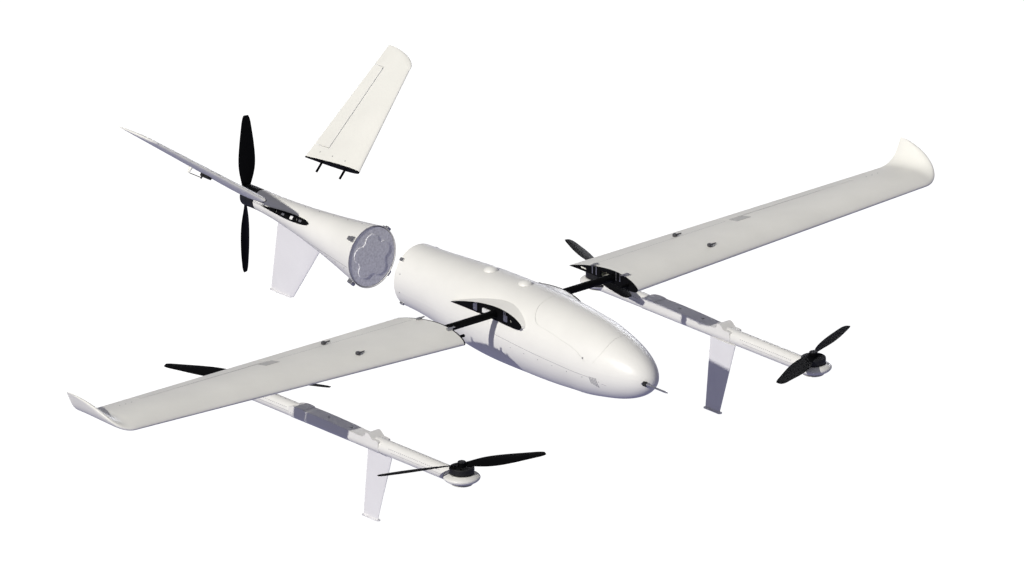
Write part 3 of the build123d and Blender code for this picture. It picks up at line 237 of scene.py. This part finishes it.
def carbon(name, scale=420.0):
    """Twill weave of carbon cloth under matt resin."""
    material, tree, shader = new_material(name)
    place = tree.nodes.new("ShaderNodeTexCoord")
    waves = []
    for turn in (math.radians(45), math.radians(-45)):
        mapping = tree.nodes.new("ShaderNodeMapping")
        mapping.inputs["Rotation"].default_value = (turn, turn, turn)
        wave = tree.nodes.new("ShaderNodeTexWave")
        wave.inputs["Scale"].default_value = scale / 2
        tree.links.new(place.outputs["Object"], mapping.inputs["Vector"])
        tree.links.new(mapping.outputs["Vector"], wave.inputs["Vector"])
        waves.append(wave.outputs["Fac"])
    weave = tree.nodes.new("ShaderNodeMath")
    weave.operation = "MULTIPLY"
    tree.links.new(waves[0], weave.inputs[0])
    tree.links.new(waves[1], weave.inputs[1])
    tree.links.new(ramp(tree, weave.outputs[0], 0.1, 0.9, (0.001, 0.001, 0.0012), (0.006, 0.006, 0.0065)),
                   shader.inputs["Base Color"])
    tree.links.new(bump(tree, weave.outputs[0], 0.25, 0.0003), shader.inputs["Normal"])
    socket(shader, "Roughness", 0.6)
    socket(shader, "Specular IOR Level", 0.08)
    return material


def moulded(name, colour, roughness=0.6, grain=260.0, gloss=0.3):
    """Moulded plastic with a fine eroded grain."""
    material, tree, shader = new_material(name)
    fine = noise(tree, grain, 5.0)
    tree.links.new(ramp(tree, fine, 0.3, 0.7, shade(colour, 0.88), shade(colour, 1.12)),
                   shader.inputs["Base Color"])
    tree.links.new(bump(tree, fine, 0.15, 0.0003), shader.inputs["Normal"])
    socket(shader, "Roughness", roughness)
    socket(shader, "Specular IOR Level", gloss)
    return material


def metal(name, colour, roughness=0.35, stretch=(1, 1, 14), level=1.0):
    """Brushed metal, brighter along its scratches; a level below 1 gives coated or anodised metal."""
    material, tree, shader = new_material(name)
    scratch = noise(tree, 160.0, 6.0, stretch)
    tree.links.new(ramp(tree, scratch, 0.3, 0.7, shade(colour, 0.8), shade(colour, 1.2)),
                   shader.inputs["Base Color"])
    tree.links.new(ramp(tree, scratch, 0.2, 0.8, (roughness - 0.08,) * 3, (roughness + 0.12,) * 3),
                   shader.inputs["Roughness"])
    tree.links.new(bump(tree, scratch, 0.12, 0.0002), shader.inputs["Normal"])
    socket(shader, "Metallic", level)
    return material


MATERIALS = {
    "shell_white": paint("shell_white", (0.76, 0.755, 0.71), 0.40),
    "boom_white": paint("boom_white", (0.73, 0.725, 0.685), 0.42),
    "pale_leg": paint("pale_leg", (0.71, 0.705, 0.71), 0.45),
    "wing_skin": paint("wing_skin", (0.79, 0.785, 0.725), 0.46),
    "carbon_black": carbon("carbon_black"),
    "propeller_black": moulded("propeller_black", (0.0016, 0.0016, 0.0018), 0.6, 300.0, 0.08),
    "motor_black": metal("motor_black", (0.004, 0.004, 0.0045), 0.5, (1, 1, 8), 0.0),
    "stator_metal": metal("stator_metal", (0.05, 0.045, 0.04), 0.5),
    "latch_metal": metal("latch_metal", (0.42, 0.42, 0.43), 0.38),
    "lock_grey": metal("lock_grey", (0.09, 0.09, 0.095), 0.45, (1, 1, 1), 0.6),
    "bulkhead_grey": metal("bulkhead_grey", (0.88, 0.88, 0.87), 0.6, (1, 1, 1), 0.0),
    "probe_metal": metal("probe_metal", (0.55, 0.55, 0.56), 0.3),
    "connector_white": moulded("connector_white", (0.75, 0.75, 0.73), 0.5),
    "servo_black": moulded("servo_black", (0.01, 0.01, 0.011), 0.5),
    "deck_ply": carbon("deck_ply", 300.0),
    "battery_wrap": moulded("battery_wrap", (0.02, 0.05, 0.18), 0.35),
    "avionics_case": metal("avionics_case", (0.08, 0.08, 0.085), 0.5, (1, 1, 1), 0.5),
}

SEAM_GREY = moulded("seam_grey", (0.30, 0.30, 0.31), 0.6)
STEEL = metal("screw_steel", (0.30, 0.30, 0.31), 0.4)
BLACK_STEEL = metal("black_steel", (0.02, 0.02, 0.021), 0.45, (1, 1, 1), 0.5)
BRASS = metal("brass_pin", (0.55, 0.38, 0.14), 0.35)
DARK = moulded("socket_dark", (0.012, 0.012, 0.013), 0.7)
# the servo covers' darker grey is painted shade: a shadow on the wing, painted as a grey cover
PAINTED_SHADE_COVER = paint("servo_cover_painted_shade", (0.50, 0.495, 0.47), 0.5)


def finish_cad_nodes():
    """Gives every CAD node the material of its slot."""
    for row in frame["record"]["subparts"]:
        cad = nodes[row["node"]]
        cad.data.materials.clear()
        cad.data.materials.append(MATERIALS[row["material_slot"]])


# ------------------------------------------------------------------ mesh helpers


class Shape:
    """Points and faces of small solids that gather into one piece."""

    def __init__(self):
        self.points = []
        self.faces = []

    def add(self, points, faces):
        """Takes in one more solid."""
        start = len(self.points)
        self.points.extend(points)
        self.faces.extend([tuple(start + index for index in face) for face in faces])

    def turned(self, origin, axis, profile, sides):
        """Solid turned about an axis from (radius, height) pairs that start and end on the axis."""
        axis = Vector(axis).normalized()
        across = axis.orthogonal().normalized()
        up = axis.cross(across)
        points = [origin + axis * profile[0][1]]
        for radius, height in profile[1:-1]:
            for index in range(sides):
                angle = 2 * math.pi * index / sides
                outward = across * math.cos(angle) + up * math.sin(angle)
                points.append(origin + axis * height + outward * radius)
        points.append(origin + axis * profile[-1][1])
        faces = []
        rings = len(profile) - 2
        for index in range(sides):
            after = (index + 1) % sides
            faces.append((0, 1 + after, 1 + index))
            for ring in range(rings - 1):
                low = 1 + ring * sides
                high = low + sides
                faces.append((low + index, low + after, high + after, high + index))
            last = 1 + (rings - 1) * sides
            faces.append((last + index, last + after, len(points) - 1))
        self.add(points, faces)

    def bead(self, points, normals, width, height, closed=False):
        """Flat strip that follows points on a surface; closed joins its ends to a ring."""
        count = len(points)
        corners = []
        for index, (point, normal) in enumerate(zip(points, normals)):
            before = points[index - 1] if closed or index > 0 else point
            after = points[(index + 1) % count] if closed or index < count - 1 else point
            side = (after - before).cross(normal).normalized() * (width / 2)
            corners += [point + side - normal * SINK, point + side + normal * height,
                        point - side + normal * height, point - side - normal * SINK]
        faces = []
        for index in range(count if closed else count - 1):
            low = 4 * index
            high = 4 * ((index + 1) % count)
            for edge in range(4):
                after = (edge + 1) % 4
                faces.append((low + edge, low + after, high + after, high + edge))
        if not closed:
            last = 4 * (count - 1)
            faces += [(3, 2, 1, 0), (last, last + 1, last + 2, last + 3)]
        self.add(corners, faces)

    def block(self, centre, across, normal, size, bevel):
        """Block with its upper edges broken; across and normal give its first and last side."""
        normal = Vector(normal).normalized()
        along = (Vector(across) - normal * normal.dot(Vector(across))).normalized()
        side = normal.cross(along)
        corners = []
        for inset, height in ((0, 0.0), (0, size[2] - bevel), (bevel, size[2])):
            for x, y in ((-1, -1), (1, -1), (1, 1), (-1, 1)):
                corners.append(centre + along * x * (size[0] / 2 - inset) + side * y * (size[1] / 2 - inset)
                               + normal * height)
        faces = [(3, 2, 1, 0), (8, 9, 10, 11)]
        for low in (0, 4):
            for edge in range(4):
                after = (edge + 1) % 4
                faces.append((low + edge, low + after, low + 4 + after, low + 4 + edge))
        self.add(corners, faces)

    def screw(self, origin, normal, radius, height=SCREW_HEIGHT):
        """Flat screw head with a recess and a broken edge."""
        recess_z = height * 0.2
        foot_z = -0.0006
        profile = ((0, recess_z), (radius * 0.45, recess_z), (radius * 0.5, height), (radius * 0.85, height),
                   (radius, height * 0.5), (radius, foot_z), (0, foot_z))
        self.turned(origin, normal, profile, 12)

    def piece(self, name, body, material):
        """Makes the piece, which rides on a CAD body."""
        mesh = bpy.data.meshes.new(name)
        mesh.from_pydata(self.points, [], self.faces)
        work = bmesh.new()
        work.from_mesh(mesh)
        bmesh.ops.recalc_face_normals(work, faces=work.faces)
        work.to_mesh(mesh)
        work.free()
        mesh.materials.append(material)
        shown = bpy.data.objects.new(name, mesh)
        scene.collection.objects.link(shown)
        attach(shown, body)


def spot(node, shares):
    """Point inside a CAD node's box, as shares of its three sides."""
    low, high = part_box(node)
    return Vector([start + (end - start) * share for start, end, share in zip(low, high, shares)])


def skin(*names):
    """Tree for ray casts on CAD nodes, in the row frame."""
    points = []
    polygons = []
    for name in names:
        cad = nodes[name]
        start = len(points)
        points.extend([cad.matrix_world @ vertex.co for vertex in cad.data.vertices])
        polygons.extend([tuple(start + index for index in polygon.vertices) for polygon in cad.data.polygons])
    return BVHTree.FromPolygons(points, polygons)


def cast(tree, point, direction):
    """Point and outward normal where a ray from a long way off meets the skin, or None."""
    direction = Vector(direction).normalized()
    place, normal, _, _ = tree.ray_cast(point - direction * RAY_START, direction)
    if place is None:
        return None
    return place, normal if normal.dot(direction) < 0 else -normal


def trace(tree, start, end, direction, step=0.008):
    """Points and normals where a straight run is cast on to the skin; misses are left out."""
    count = max(2, int((end - start).length / step) + 1)
    hits = [cast(tree, start.lerp(end, index / (count - 1)), direction) for index in range(count)]
    hits = [hit for hit in hits if hit]
    return [hit[0] for hit in hits], [hit[1] for hit in hits]


def screws_on(shape, tree, start, end, direction, count, radius):
    """Row of screws on the skin."""
    for index in range(count):
        hit = cast(tree, start.lerp(end, index / max(1, count - 1)), direction)
        if hit:
            shape.screw(*hit, radius)


# ------------------------------------------------------------------ fuselage and tail details


def fuselage_sides(shell):
    """Screws, vents and seams on both sides of the fuselage and its hatch."""
    hatch_screw = 0.0026        # screw radii
    seam_screw = 0.0013
    rim_screw = 0.0016
    row_inset = 0.012           # of the hatch's screws from its ends
    row_rise = 0.008            # and from its lower edge
    rim_inset = 0.02            # of the rear row from the shell's end
    rim_reach = 0.05            # of the rear row, up and down from the side seam
    lid = skin("equipment_hatch")
    low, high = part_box("equipment_hatch")
    shell_low, shell_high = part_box("fuselage_lower_shell")
    seam_z = shell_high.z
    for side, sign in SIDES:
        inward = Vector((0, -sign, 0))
        fasteners = Shape()
        row_z = low.z + row_rise
        screws_on(fasteners, lid, Vector((low.x + row_inset, 0, row_z)),
                  Vector((high.x - row_inset, 0, row_z)), inward, 7, hatch_screw)
        fasteners.piece(f"hatch_screws_{side}", "hatch", STEEL)
        # one row under the side seam, and one down the rear rim
        row = Shape()
        screws_on(row, shell, Vector((low.x - 0.05, 0, seam_z - 0.012)), Vector((high.x, 0, seam_z - 0.026)),
                  inward, 7, seam_screw)
        rear_x = shell_low.x + rim_inset
        screws_on(row, shell, Vector((rear_x, 0, seam_z - rim_reach)),
                  Vector((rear_x, 0, seam_z + rim_reach)), inward, 3, rim_screw)
        row.piece(f"shell_screws_{side}", "fuselage", STEEL)
        side_vent(shell, side, inward, high.x - 0.028, seam_z)
        # the seam breaks off at the vent and ends in a short dash
        line = Shape()
        for start_x, start_drop, end_x, end_drop in ((low.x - 0.11, -0.008, high.x - 0.03, 0.019),
                                                     (high.x + 0.008, 0.03, high.x + 0.022, 0.032)):
            points, normals = trace(shell, Vector((start_x, 0, seam_z - start_drop)),
                                    Vector((end_x, 0, seam_z - end_drop)), inward)
            line.bead(points, normals, SEAM_WIDTH, RAISE)
        line.piece(f"side_seam_{side}", "fuselage", SEAM_GREY)


def side_vent(shell, side, inward, first_x, seam_z):
    """Five slanted louvres on the nose, each a little longer than the one behind it."""
    pitch = 0.005
    width = 0.0028
    slant = 0.004
    top_drop = 0.017            # from the side seam to a louvre's top and to the first one's foot
    foot_drop = 0.036
    growth = 0.002
    vent = Shape()
    for index in range(5):
        start_x = first_x + pitch * index
        end_z = seam_z - foot_drop - growth * index
        points, normals = trace(shell, Vector((start_x, 0, seam_z - top_drop)),
                                Vector((start_x + slant, 0, end_z)), inward, 0.004)
        vent.bead(points, normals, width, RAISE)
    vent.piece(f"side_vent_{side}", "fuselage", SEAM_GREY)


def belly_cover(shell):
    """Seam and corner screws of the payload cover under the belly."""
    half_width = 0.05
    length = 0.19
    screw_radius = 0.0024
    rear_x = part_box("equipment_hatch")[0].x - 0.02
    front_x = rear_x + length
    corners = [Vector((rear_x, -half_width, 0)), Vector((front_x, -half_width, 0)),
               Vector((front_x, half_width, 0)), Vector((rear_x, half_width, 0))]
    belly = Shape()
    for index, corner in enumerate(corners):
        points, normals = trace(shell, corner, corners[(index + 1) % 4], UP)
        belly.bead(points, normals, SEAM_WIDTH, RAISE)
    belly.piece("belly_cover_seam", "fuselage", SEAM_GREY)
    screws = Shape()
    middle = sum(corners, Vector()) / 4
    for corner in corners:
        hit = cast(shell, corner.lerp(middle, 0.12), UP)
        screws.screw(*hit, screw_radius)
    screws.piece("belly_cover_screws", "fuselage", STEEL)


def rear_bulkhead_details():
    """Ring of screws on the rear bulkhead, and the flush socket that the tail plugs into."""
    ring_share = 0.86           # of the bulkhead's radius
    socket_share = 0.45
    screw_radius = 0.0026
    socket_size = (0.030, 0.013, PLATE_T)
    pin_pitch = 0.005
    row_gap = 0.0056
    pin_profile = ((0, 0.0001), (0.0009, 0.0001), (0.0012, -0.0002), (0, -0.0002))
    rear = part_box("rear_bulkhead")
    centre = spot("rear_bulkhead", (0, 0.5, 0.5))
    radius = (rear[1].y - rear[0].y) / 2
    ring = Shape()
    for index in range(8):
        angle = math.radians(22.5 + 45 * index)
        around = Vector((0, math.cos(angle), math.sin(angle)))
        ring.screw(centre + around * radius * ring_share, BACK, screw_radius)
    ring.piece("rear_bulkhead_screws", "fuselage", STEEL)
    socket_y = radius * socket_share
    socket_block = Shape()
    socket_block.block(centre + Vector((0, socket_y, 0)), (0, 1, 0), BACK, socket_size, PLATE_EDGE)
    socket_block.piece("tail_power_socket", "fuselage", MATERIALS["connector_white"])
    pins = Shape()
    for row in (-0.5, 0.5):
        for column in range(-2, 3):
            place = centre + Vector((-PLATE_T, socket_y + column * pin_pitch, row * row_gap))
            pins.turned(place, BACK, pin_profile, 8)
    pins.piece("tail_power_pins", "fuselage", BRASS)


def probe_collar():
    """Dark collar around the foot of the air data probe."""
    tip = spot("pitot_probe", (0, 0.5, 0.5))
    profile = ((0, -0.004), (0.0068, -0.004), (0.0066, 0.004), (0.0048, 0.008), (0, 0.008))
    collar = Shape()
    collar.turned(tip + Vector((0.008, 0, 0)), FORWARD, profile, 24)
    collar.piece("probe_collar", "fuselage", DARK)


def fuselage_details():
    """All the small details of the fuselage."""
    shell = skin("fuselage_upper_shell", "fuselage_lower_shell")
    fuselage_sides(shell)
    belly_cover(shell)
    rear_bulkhead_details()
    probe_collar()


def tail_details():
    """Seams and screws of the tail cone, and the plugs and sockets in its stub ribs."""
    small_screw = 0.0016
    rib_face_inset = 0.0076     # from the outer edge of a stub rib to the middle of its face
    plug_size = (0.013, 0.010, PLATE_T)
    socket_size = (0.012, 0.006, PLATE_T)
    centre = spot("tail_bulkhead", (1, 0.5, 0.5))
    cone = skin("tail_cone")
    cone_low, cone_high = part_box("tail_cone")
    ribs = skin("tail_stub_ribs")
    rib_low, rib_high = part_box("tail_stub_ribs")
    for side, sign in SIDES:
        inward = Vector((0, -sign, 0))
        seam = Shape()
        start = Vector((cone_high.x - 0.006, 0, centre.z - 0.012))
        end = Vector((cone_low.x + 0.05, 0, centre.z - 0.004))
        points, normals = trace(cone, start, end, inward)
        seam.bead(points, normals, SEAM_WIDTH, RAISE)
        seam.piece(f"tail_seam_{side}", "tail", SEAM_GREY)
        row = Shape()
        screws_on(row, cone, start + Vector((-0.02, 0, -0.008)), end + Vector((0, 0, -0.007)), inward, 9,
                  small_screw)
        row.piece(f"tail_screws_{side}", "tail", STEEL)
        # plug and two latch sockets in the black rib of the fin stub
        out = Vector((0, sign * math.cos(FIN_ANGLE), math.sin(FIN_ANGLE)))
        plug = Shape()
        sockets = Shape()
        for share, shape, size in ((0.66, plug, plug_size), (0.48, sockets, socket_size),
                                   (0.84, sockets, socket_size)):
            middle = Vector((rib_low.x + (rib_high.x - rib_low.x) * share,
                             sign * (rib_high.y - rib_face_inset), (rib_low.z + rib_high.z) / 2))
            hit = cast(ribs, middle, -out)
            if hit:
                shape.block(hit[0], FORWARD, out, size, PLATE_EDGE)
        plug.piece(f"fin_plug_{side}", "tail", MATERIALS["connector_white"])
        sockets.piece(f"fin_sockets_{side}", "tail", MATERIALS["latch_metal"])
    top = Shape()
    screws_on(top, cone, Vector((cone_high.x - 0.04, 0, 0)), Vector((cone_low.x + 0.12, 0, 0)), DOWN, 6,
              small_screw)
    top.piece("tail_top_screws", "tail", STEEL)


# ------------------------------------------------------------------ motor, propeller and latch details


def motor_details():
    """Two raised bands around the rotor bell of each motor."""
    band_sides = 64
    band_shares = (0.10, 0.62)  # of the bell's length, from the end at the motor's foot
    band_width = 0.056          # of the bell's length
    band_height = 0.0004
    motors = [(f"lift_bell_{end}_{side}", f"rotor_{end}_{side}", UP) for side, _ in SIDES for end in ENDS]
    motors.append(("pusher_bell", "pusher_rotor", BACK))
    for bell, body, axis in motors:
        low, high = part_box(bell)
        size = high - low
        radius = size.y / 2
        length = abs(size.dot(axis))
        foot = (low + high) / 2 - axis * length / 2
        across = axis.orthogonal().normalized()
        up = axis.cross(across)
        bands = Shape()
        for share in band_shares:
            points = []
            normals = []
            for index in range(band_sides):
                angle = 2 * math.pi * index / band_sides
                outward = across * math.cos(angle) + up * math.sin(angle)
                points.append(foot + axis * length * share + outward * radius)
                normals.append(outward)
            bands.bead(points, normals, length * band_width, band_height, closed=True)
        bands.piece(f"{bell}_bands", body, BLACK_STEEL)


def propeller_details():
    """Clamp washer and four bolts on the hub of each lift propeller."""
    washer_top = 0.0022
    washer_radius = 0.0108
    washer_foot = -0.0006
    profile = ((0, washer_top), (0.010, washer_top), (washer_radius, 0.0014), (washer_radius, washer_foot),
               (0, washer_foot))
    bolt_circle = 0.0072
    bolt_radius = 0.0018
    bolt_height = 0.0010
    for side, _ in SIDES:
        for end in ENDS:
            name = f"lift_propeller_{end}_{side}"
            bell = spot(f"lift_bell_{end}_{side}", (0.5, 0.5, 1))
            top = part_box(name)[1].z
            centre = Vector((bell.x, bell.y, top))
            clamp = Shape()
            clamp.turned(centre, UP, profile, 32)
            for index in range(4):
                angle = math.radians(45 + 90 * index)
                around = Vector((math.cos(angle), math.sin(angle), 0))
                clamp.screw(centre + around * bolt_circle + UP * washer_top, UP, bolt_radius, bolt_height)
            clamp.piece(f"propeller_clamp_{end}_{side}", f"rotor_{end}_{side}", BLACK_STEEL)


def latch_places(rib, line_y, shares, outward):
    """Places on a root rib's face, a little below its top edge, at shares of its chord."""
    drop = 0.0105
    face = skin(rib)
    low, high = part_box(rib)
    places = []
    for share in shares:
        x = low.x + (high.x - low.x) * share
        crest = cast(face, Vector((x, line_y, 0)), DOWN)
        if crest:
            hit = cast(face, Vector((x, 0, crest[0].z - drop)), -outward)
            if hit:
                places.append(hit[0])
    return places


def latch_details():
    """Strike plates of the wing latches: slotted on the fuselage's ribs, in strips on the wings'."""
    plate_size = (0.009, 0.022, PLATE_T)
    slot_size = (0.0030, 0.0065, PLATE_T / 4)
    slot_drop = 0.0055          # from the middle of a plate to the middle of a slot
    strip_size = (0.0035, 0.022, PLATE_T)
    strip_offset = 0.0075       # leaves room for the keeper between two strips
    edge_inset = 0.001
    for side, sign in SIDES:
        outward = Vector((0, sign, 0))
        rib = f"stub_rib_{side}"
        low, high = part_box(rib)
        plates = Shape()
        slots = Shape()
        for place in latch_places(rib, (low.y + high.y) / 2, (0.36, 0.77), outward):
            plates.block(place, FORWARD, outward, plate_size, PLATE_EDGE)
            for drop in (-slot_drop, slot_drop):
                slots.block(place + Vector((0, 0, drop)) + outward * PLATE_T, FORWARD, outward, slot_size,
                            PLATE_T / 16)
        plates.piece(f"{rib}_plates", "fuselage", MATERIALS["latch_metal"])
        slots.piece(f"{rib}_slots", "fuselage", DARK)
        rib = f"wing_root_rib_{side}"
        low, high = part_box(rib)
        line_y = high.y - edge_inset if sign > 0 else low.y + edge_inset
        strips = Shape()
        for place in latch_places(rib, line_y, (0.37, 0.72), -outward):
            for ahead in (-strip_offset, strip_offset):
                strips.block(place + Vector((ahead, 0, 0)), FORWARD, -outward, strip_size, PLATE_EDGE)
        strips.piece(f"{rib}_plates", f"wing_{side}", MATERIALS["latch_metal"])


# ------------------------------------------------------------------ wing, boom and fin details


def wing_details():
    """Servo covers in a darker grey that is painted shade, seams and small screws of both wings."""
    cover_ahead = 0.022         # from the aileron's hinge to the middle of the servo cover
    cover_width = 0.034
    cover_inboard = 0.006       # from the aileron's inboard end to both ends of the cover
    cover_outboard = 0.042
    row_ahead = (0.035, 0.009)  # from the hinge to the cover's two rows of screws
    row_along = (0.0, 0.036)
    tip_ahead = 0.012
    tip_along = (0.035, 0.055, 0.075)
    tape_ahead = 0.0014
    small_screw = 0.0016
    for side, sign in SIDES:
        panel = skin(f"wing_panel_{side}")
        low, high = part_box(f"wing_panel_{side}")
        aileron_low, aileron_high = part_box(f"aileron_{side}")
        inner = min(abs(aileron_low.y), abs(aileron_high.y)) * sign
        outer = max(abs(aileron_low.y), abs(aileron_high.y)) * sign
        root = min(abs(low.y), abs(high.y)) * sign
        hinge_x = aileron_high.x
        # servo cover ahead of the aileron's inboard end, with its screws; its darker grey is painted shade, a
        # shadow on the wing painted into the cover
        cover = Shape()
        cover_x = hinge_x + cover_ahead
        points, normals = trace(panel, Vector((cover_x, inner - sign * cover_inboard, 0)),
                                Vector((cover_x, inner + sign * cover_outboard, 0)), DOWN, 0.004)
        cover.bead(points, normals, cover_width, RAISE)
        cover.piece(f"servo_cover_painted_shade_{side}", f"wing_{side}", PAINTED_SHADE_COVER)
        screw_places = [(hinge_x + ahead, inner + sign * along) for ahead in row_ahead for along in row_along]
        screw_places += [(hinge_x + tip_ahead, outer + sign * along) for along in tip_along]
        screws = Shape()
        for x, y in screw_places:
            hit = cast(panel, Vector((x, y, 0)), DOWN)
            if hit:
                screws.screw(*hit, small_screw)
        screws.piece(f"wing_screws_{side}", f"wing_{side}", STEEL)
        # seam of the wiring channel towards the root, and the tape along the hinge
        seam = Shape()
        points, normals = trace(panel, Vector((hinge_x + 0.006, inner - sign * 0.02, 0)),
                                Vector((hinge_x + 0.010, root + sign * 0.012, 0)), DOWN, 0.012)
        seam.bead(points, normals, SEAM_WIDTH * 0.6, RAISE)
        tape_x = hinge_x + tape_ahead
        points, normals = trace(panel, Vector((tape_x, inner, 0)), Vector((tape_x, outer, 0)), DOWN, 0.012)
        seam.bead(points, normals, SEAM_WIDTH * 1.4, RAISE)
        # two chordwise joints on the underside
        for share in (0.5, 0.75):
            joint_y = root + (outer - root) * share
            points, normals = trace(panel, Vector((hinge_x + 0.012, joint_y, 0)),
                                    Vector((high.x - 0.05, joint_y, 0)), UP, 0.010)
            seam.bead(points, normals, SEAM_WIDTH * 0.8, RAISE)
        seam.piece(f"wing_seam_{side}", f"wing_{side}", SEAM_GREY)


def pod_scoops(beam, side, motors, height):
    """Two short dark scoops on each motor pod, one on either side of the tube."""
    half_length = 0.013
    width = 0.006
    scoops = Shape()
    for motor, way in motors:
        for angle in (140, 220):
            turn = math.radians(angle)
            outward = Vector((math.cos(turn) * way, math.sin(turn), 0))
            tangent = Vector((-outward.y, outward.x, 0))
            middle = Vector((motor.x, motor.y, height))
            points, normals = trace(beam, middle - tangent * half_length, middle + tangent * half_length,
                                    -outward, 0.003)
            if len(points) > 2:
                scoops.bead(points, normals, width, RAISE)
    scoops.piece(f"pod_scoops_{side}", f"boom_{side}", DARK)


def boom_details():
    """Seams, stitches, rivets and pod scoops of both booms."""
    line_rise = 0.021           # of the seams over the boom's underside: about level with the tube's axis
    scoop_rise = 0.027
    dash_pitch = 0.0075
    dash_length = 0.004
    rivet_radius = 0.0011
    leg_screw = 0.0022
    leg_drop = 0.004            # of the screws under the leg's top
    leg_inset = 0.02
    for side, _ in SIDES:
        beam = skin(f"boom_beam_{side}")
        low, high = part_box(f"boom_beam_{side}")
        axis_y = (low.y + high.y) / 2
        line_z = low.z + line_rise
        fore = spot(f"lift_bell_fore_{side}", (0.5, 0.5, 0))
        aft = spot(f"lift_bell_aft_{side}", (0.5, 0.5, 0))
        leg_low, leg_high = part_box(f"landing_leg_{side}")
        # mould seam along both flanks of the bare tube
        seams = Shape()
        for way in (-1, 1):
            inward = Vector((0, -way, 0))
            for start_x, end_x in ((leg_high.x + 0.03, fore.x - 0.055), (aft.x + 0.055, leg_low.x - 0.24)):
                points, normals = trace(beam, Vector((start_x, axis_y, line_z)),
                                        Vector((end_x, axis_y, line_z)), inward, 0.02)
                seams.bead(points, normals, SEAM_WIDTH * 0.8, RAISE)
        seams.piece(f"boom_seam_{side}", f"boom_{side}", SEAM_GREY)
        # stitched seam higher up on both flanks
        stitches = Shape()
        for way in (-1, 1):
            for start_x, end_x in ((leg_high.x + 0.02, fore.x - 0.06), (aft.x + 0.06, leg_low.x - 0.25)):
                for index in range(int((end_x - start_x) / dash_pitch)):
                    dash = Vector((start_x + dash_pitch * index, axis_y, line_z))
                    points, normals = trace(beam, dash, dash + Vector((dash_length, 0, 0)), (0, -way, -0.45),
                                            0.004)
                    if len(points) > 1:
                        stitches.bead(points, normals, SEAM_WIDTH * 1.4, RAISE)
        stitches.piece(f"boom_stitches_{side}", f"boom_{side}", SEAM_GREY)
        # rivets along the tube's crest, and three screws on each flank at the leg's top
        rivets = Shape()
        for start_x, end_x, count in ((leg_high.x + 0.04, fore.x - 0.07, 14),
                                      (aft.x + 0.06, leg_low.x - 0.25, 8)):
            screws_on(rivets, beam, Vector((start_x, axis_y, 0)), Vector((end_x, axis_y, 0)), DOWN, count,
                      rivet_radius)
        flank_z = leg_high.z - leg_drop
        for way in (-1, 1):
            screws_on(rivets, beam, Vector((leg_low.x + leg_inset, axis_y, flank_z)),
                      Vector((leg_high.x - leg_inset, axis_y, flank_z)), (0, -way, 0), 3, leg_screw)
        rivets.piece(f"boom_rivets_{side}", f"boom_{side}", STEEL)
        pod_scoops(beam, side, ((fore, 1), (aft, -1)), low.z + scoop_rise)


def fin_details():
    """Screws near the root of both tail fins, on both faces."""
    reach = 0.17                # from the middle of the fin towards its root
    screw_radius = 0.0018
    for side, sign in SIDES:
        fin = skin(f"fin_panel_{side}")
        normal = Vector((0, -sign * math.sin(FIN_ANGLE), math.cos(FIN_ANGLE)))
        along = Vector((0, sign * math.cos(FIN_ANGLE), math.sin(FIN_ANGLE)))
        screws = Shape()
        for way in (-1, 1):
            for share in (0.30, 0.52, 0.74):
                base = spot(f"fin_panel_{side}", (share, 0.5, 0.5))
                hit = cast(fin, base - along * reach, normal * -way)
                if hit:
                    screws.screw(*hit, screw_radius)
        screws.piece(f"fin_screws_{side}", f"fin_{side}", STEEL)


add_camera()
add_light()
add_floor()
finish_cad_nodes()
fuselage_details()
tail_details()
motor_details()
propeller_details()
latch_details()
wing_details()
boom_details()
fin_details()
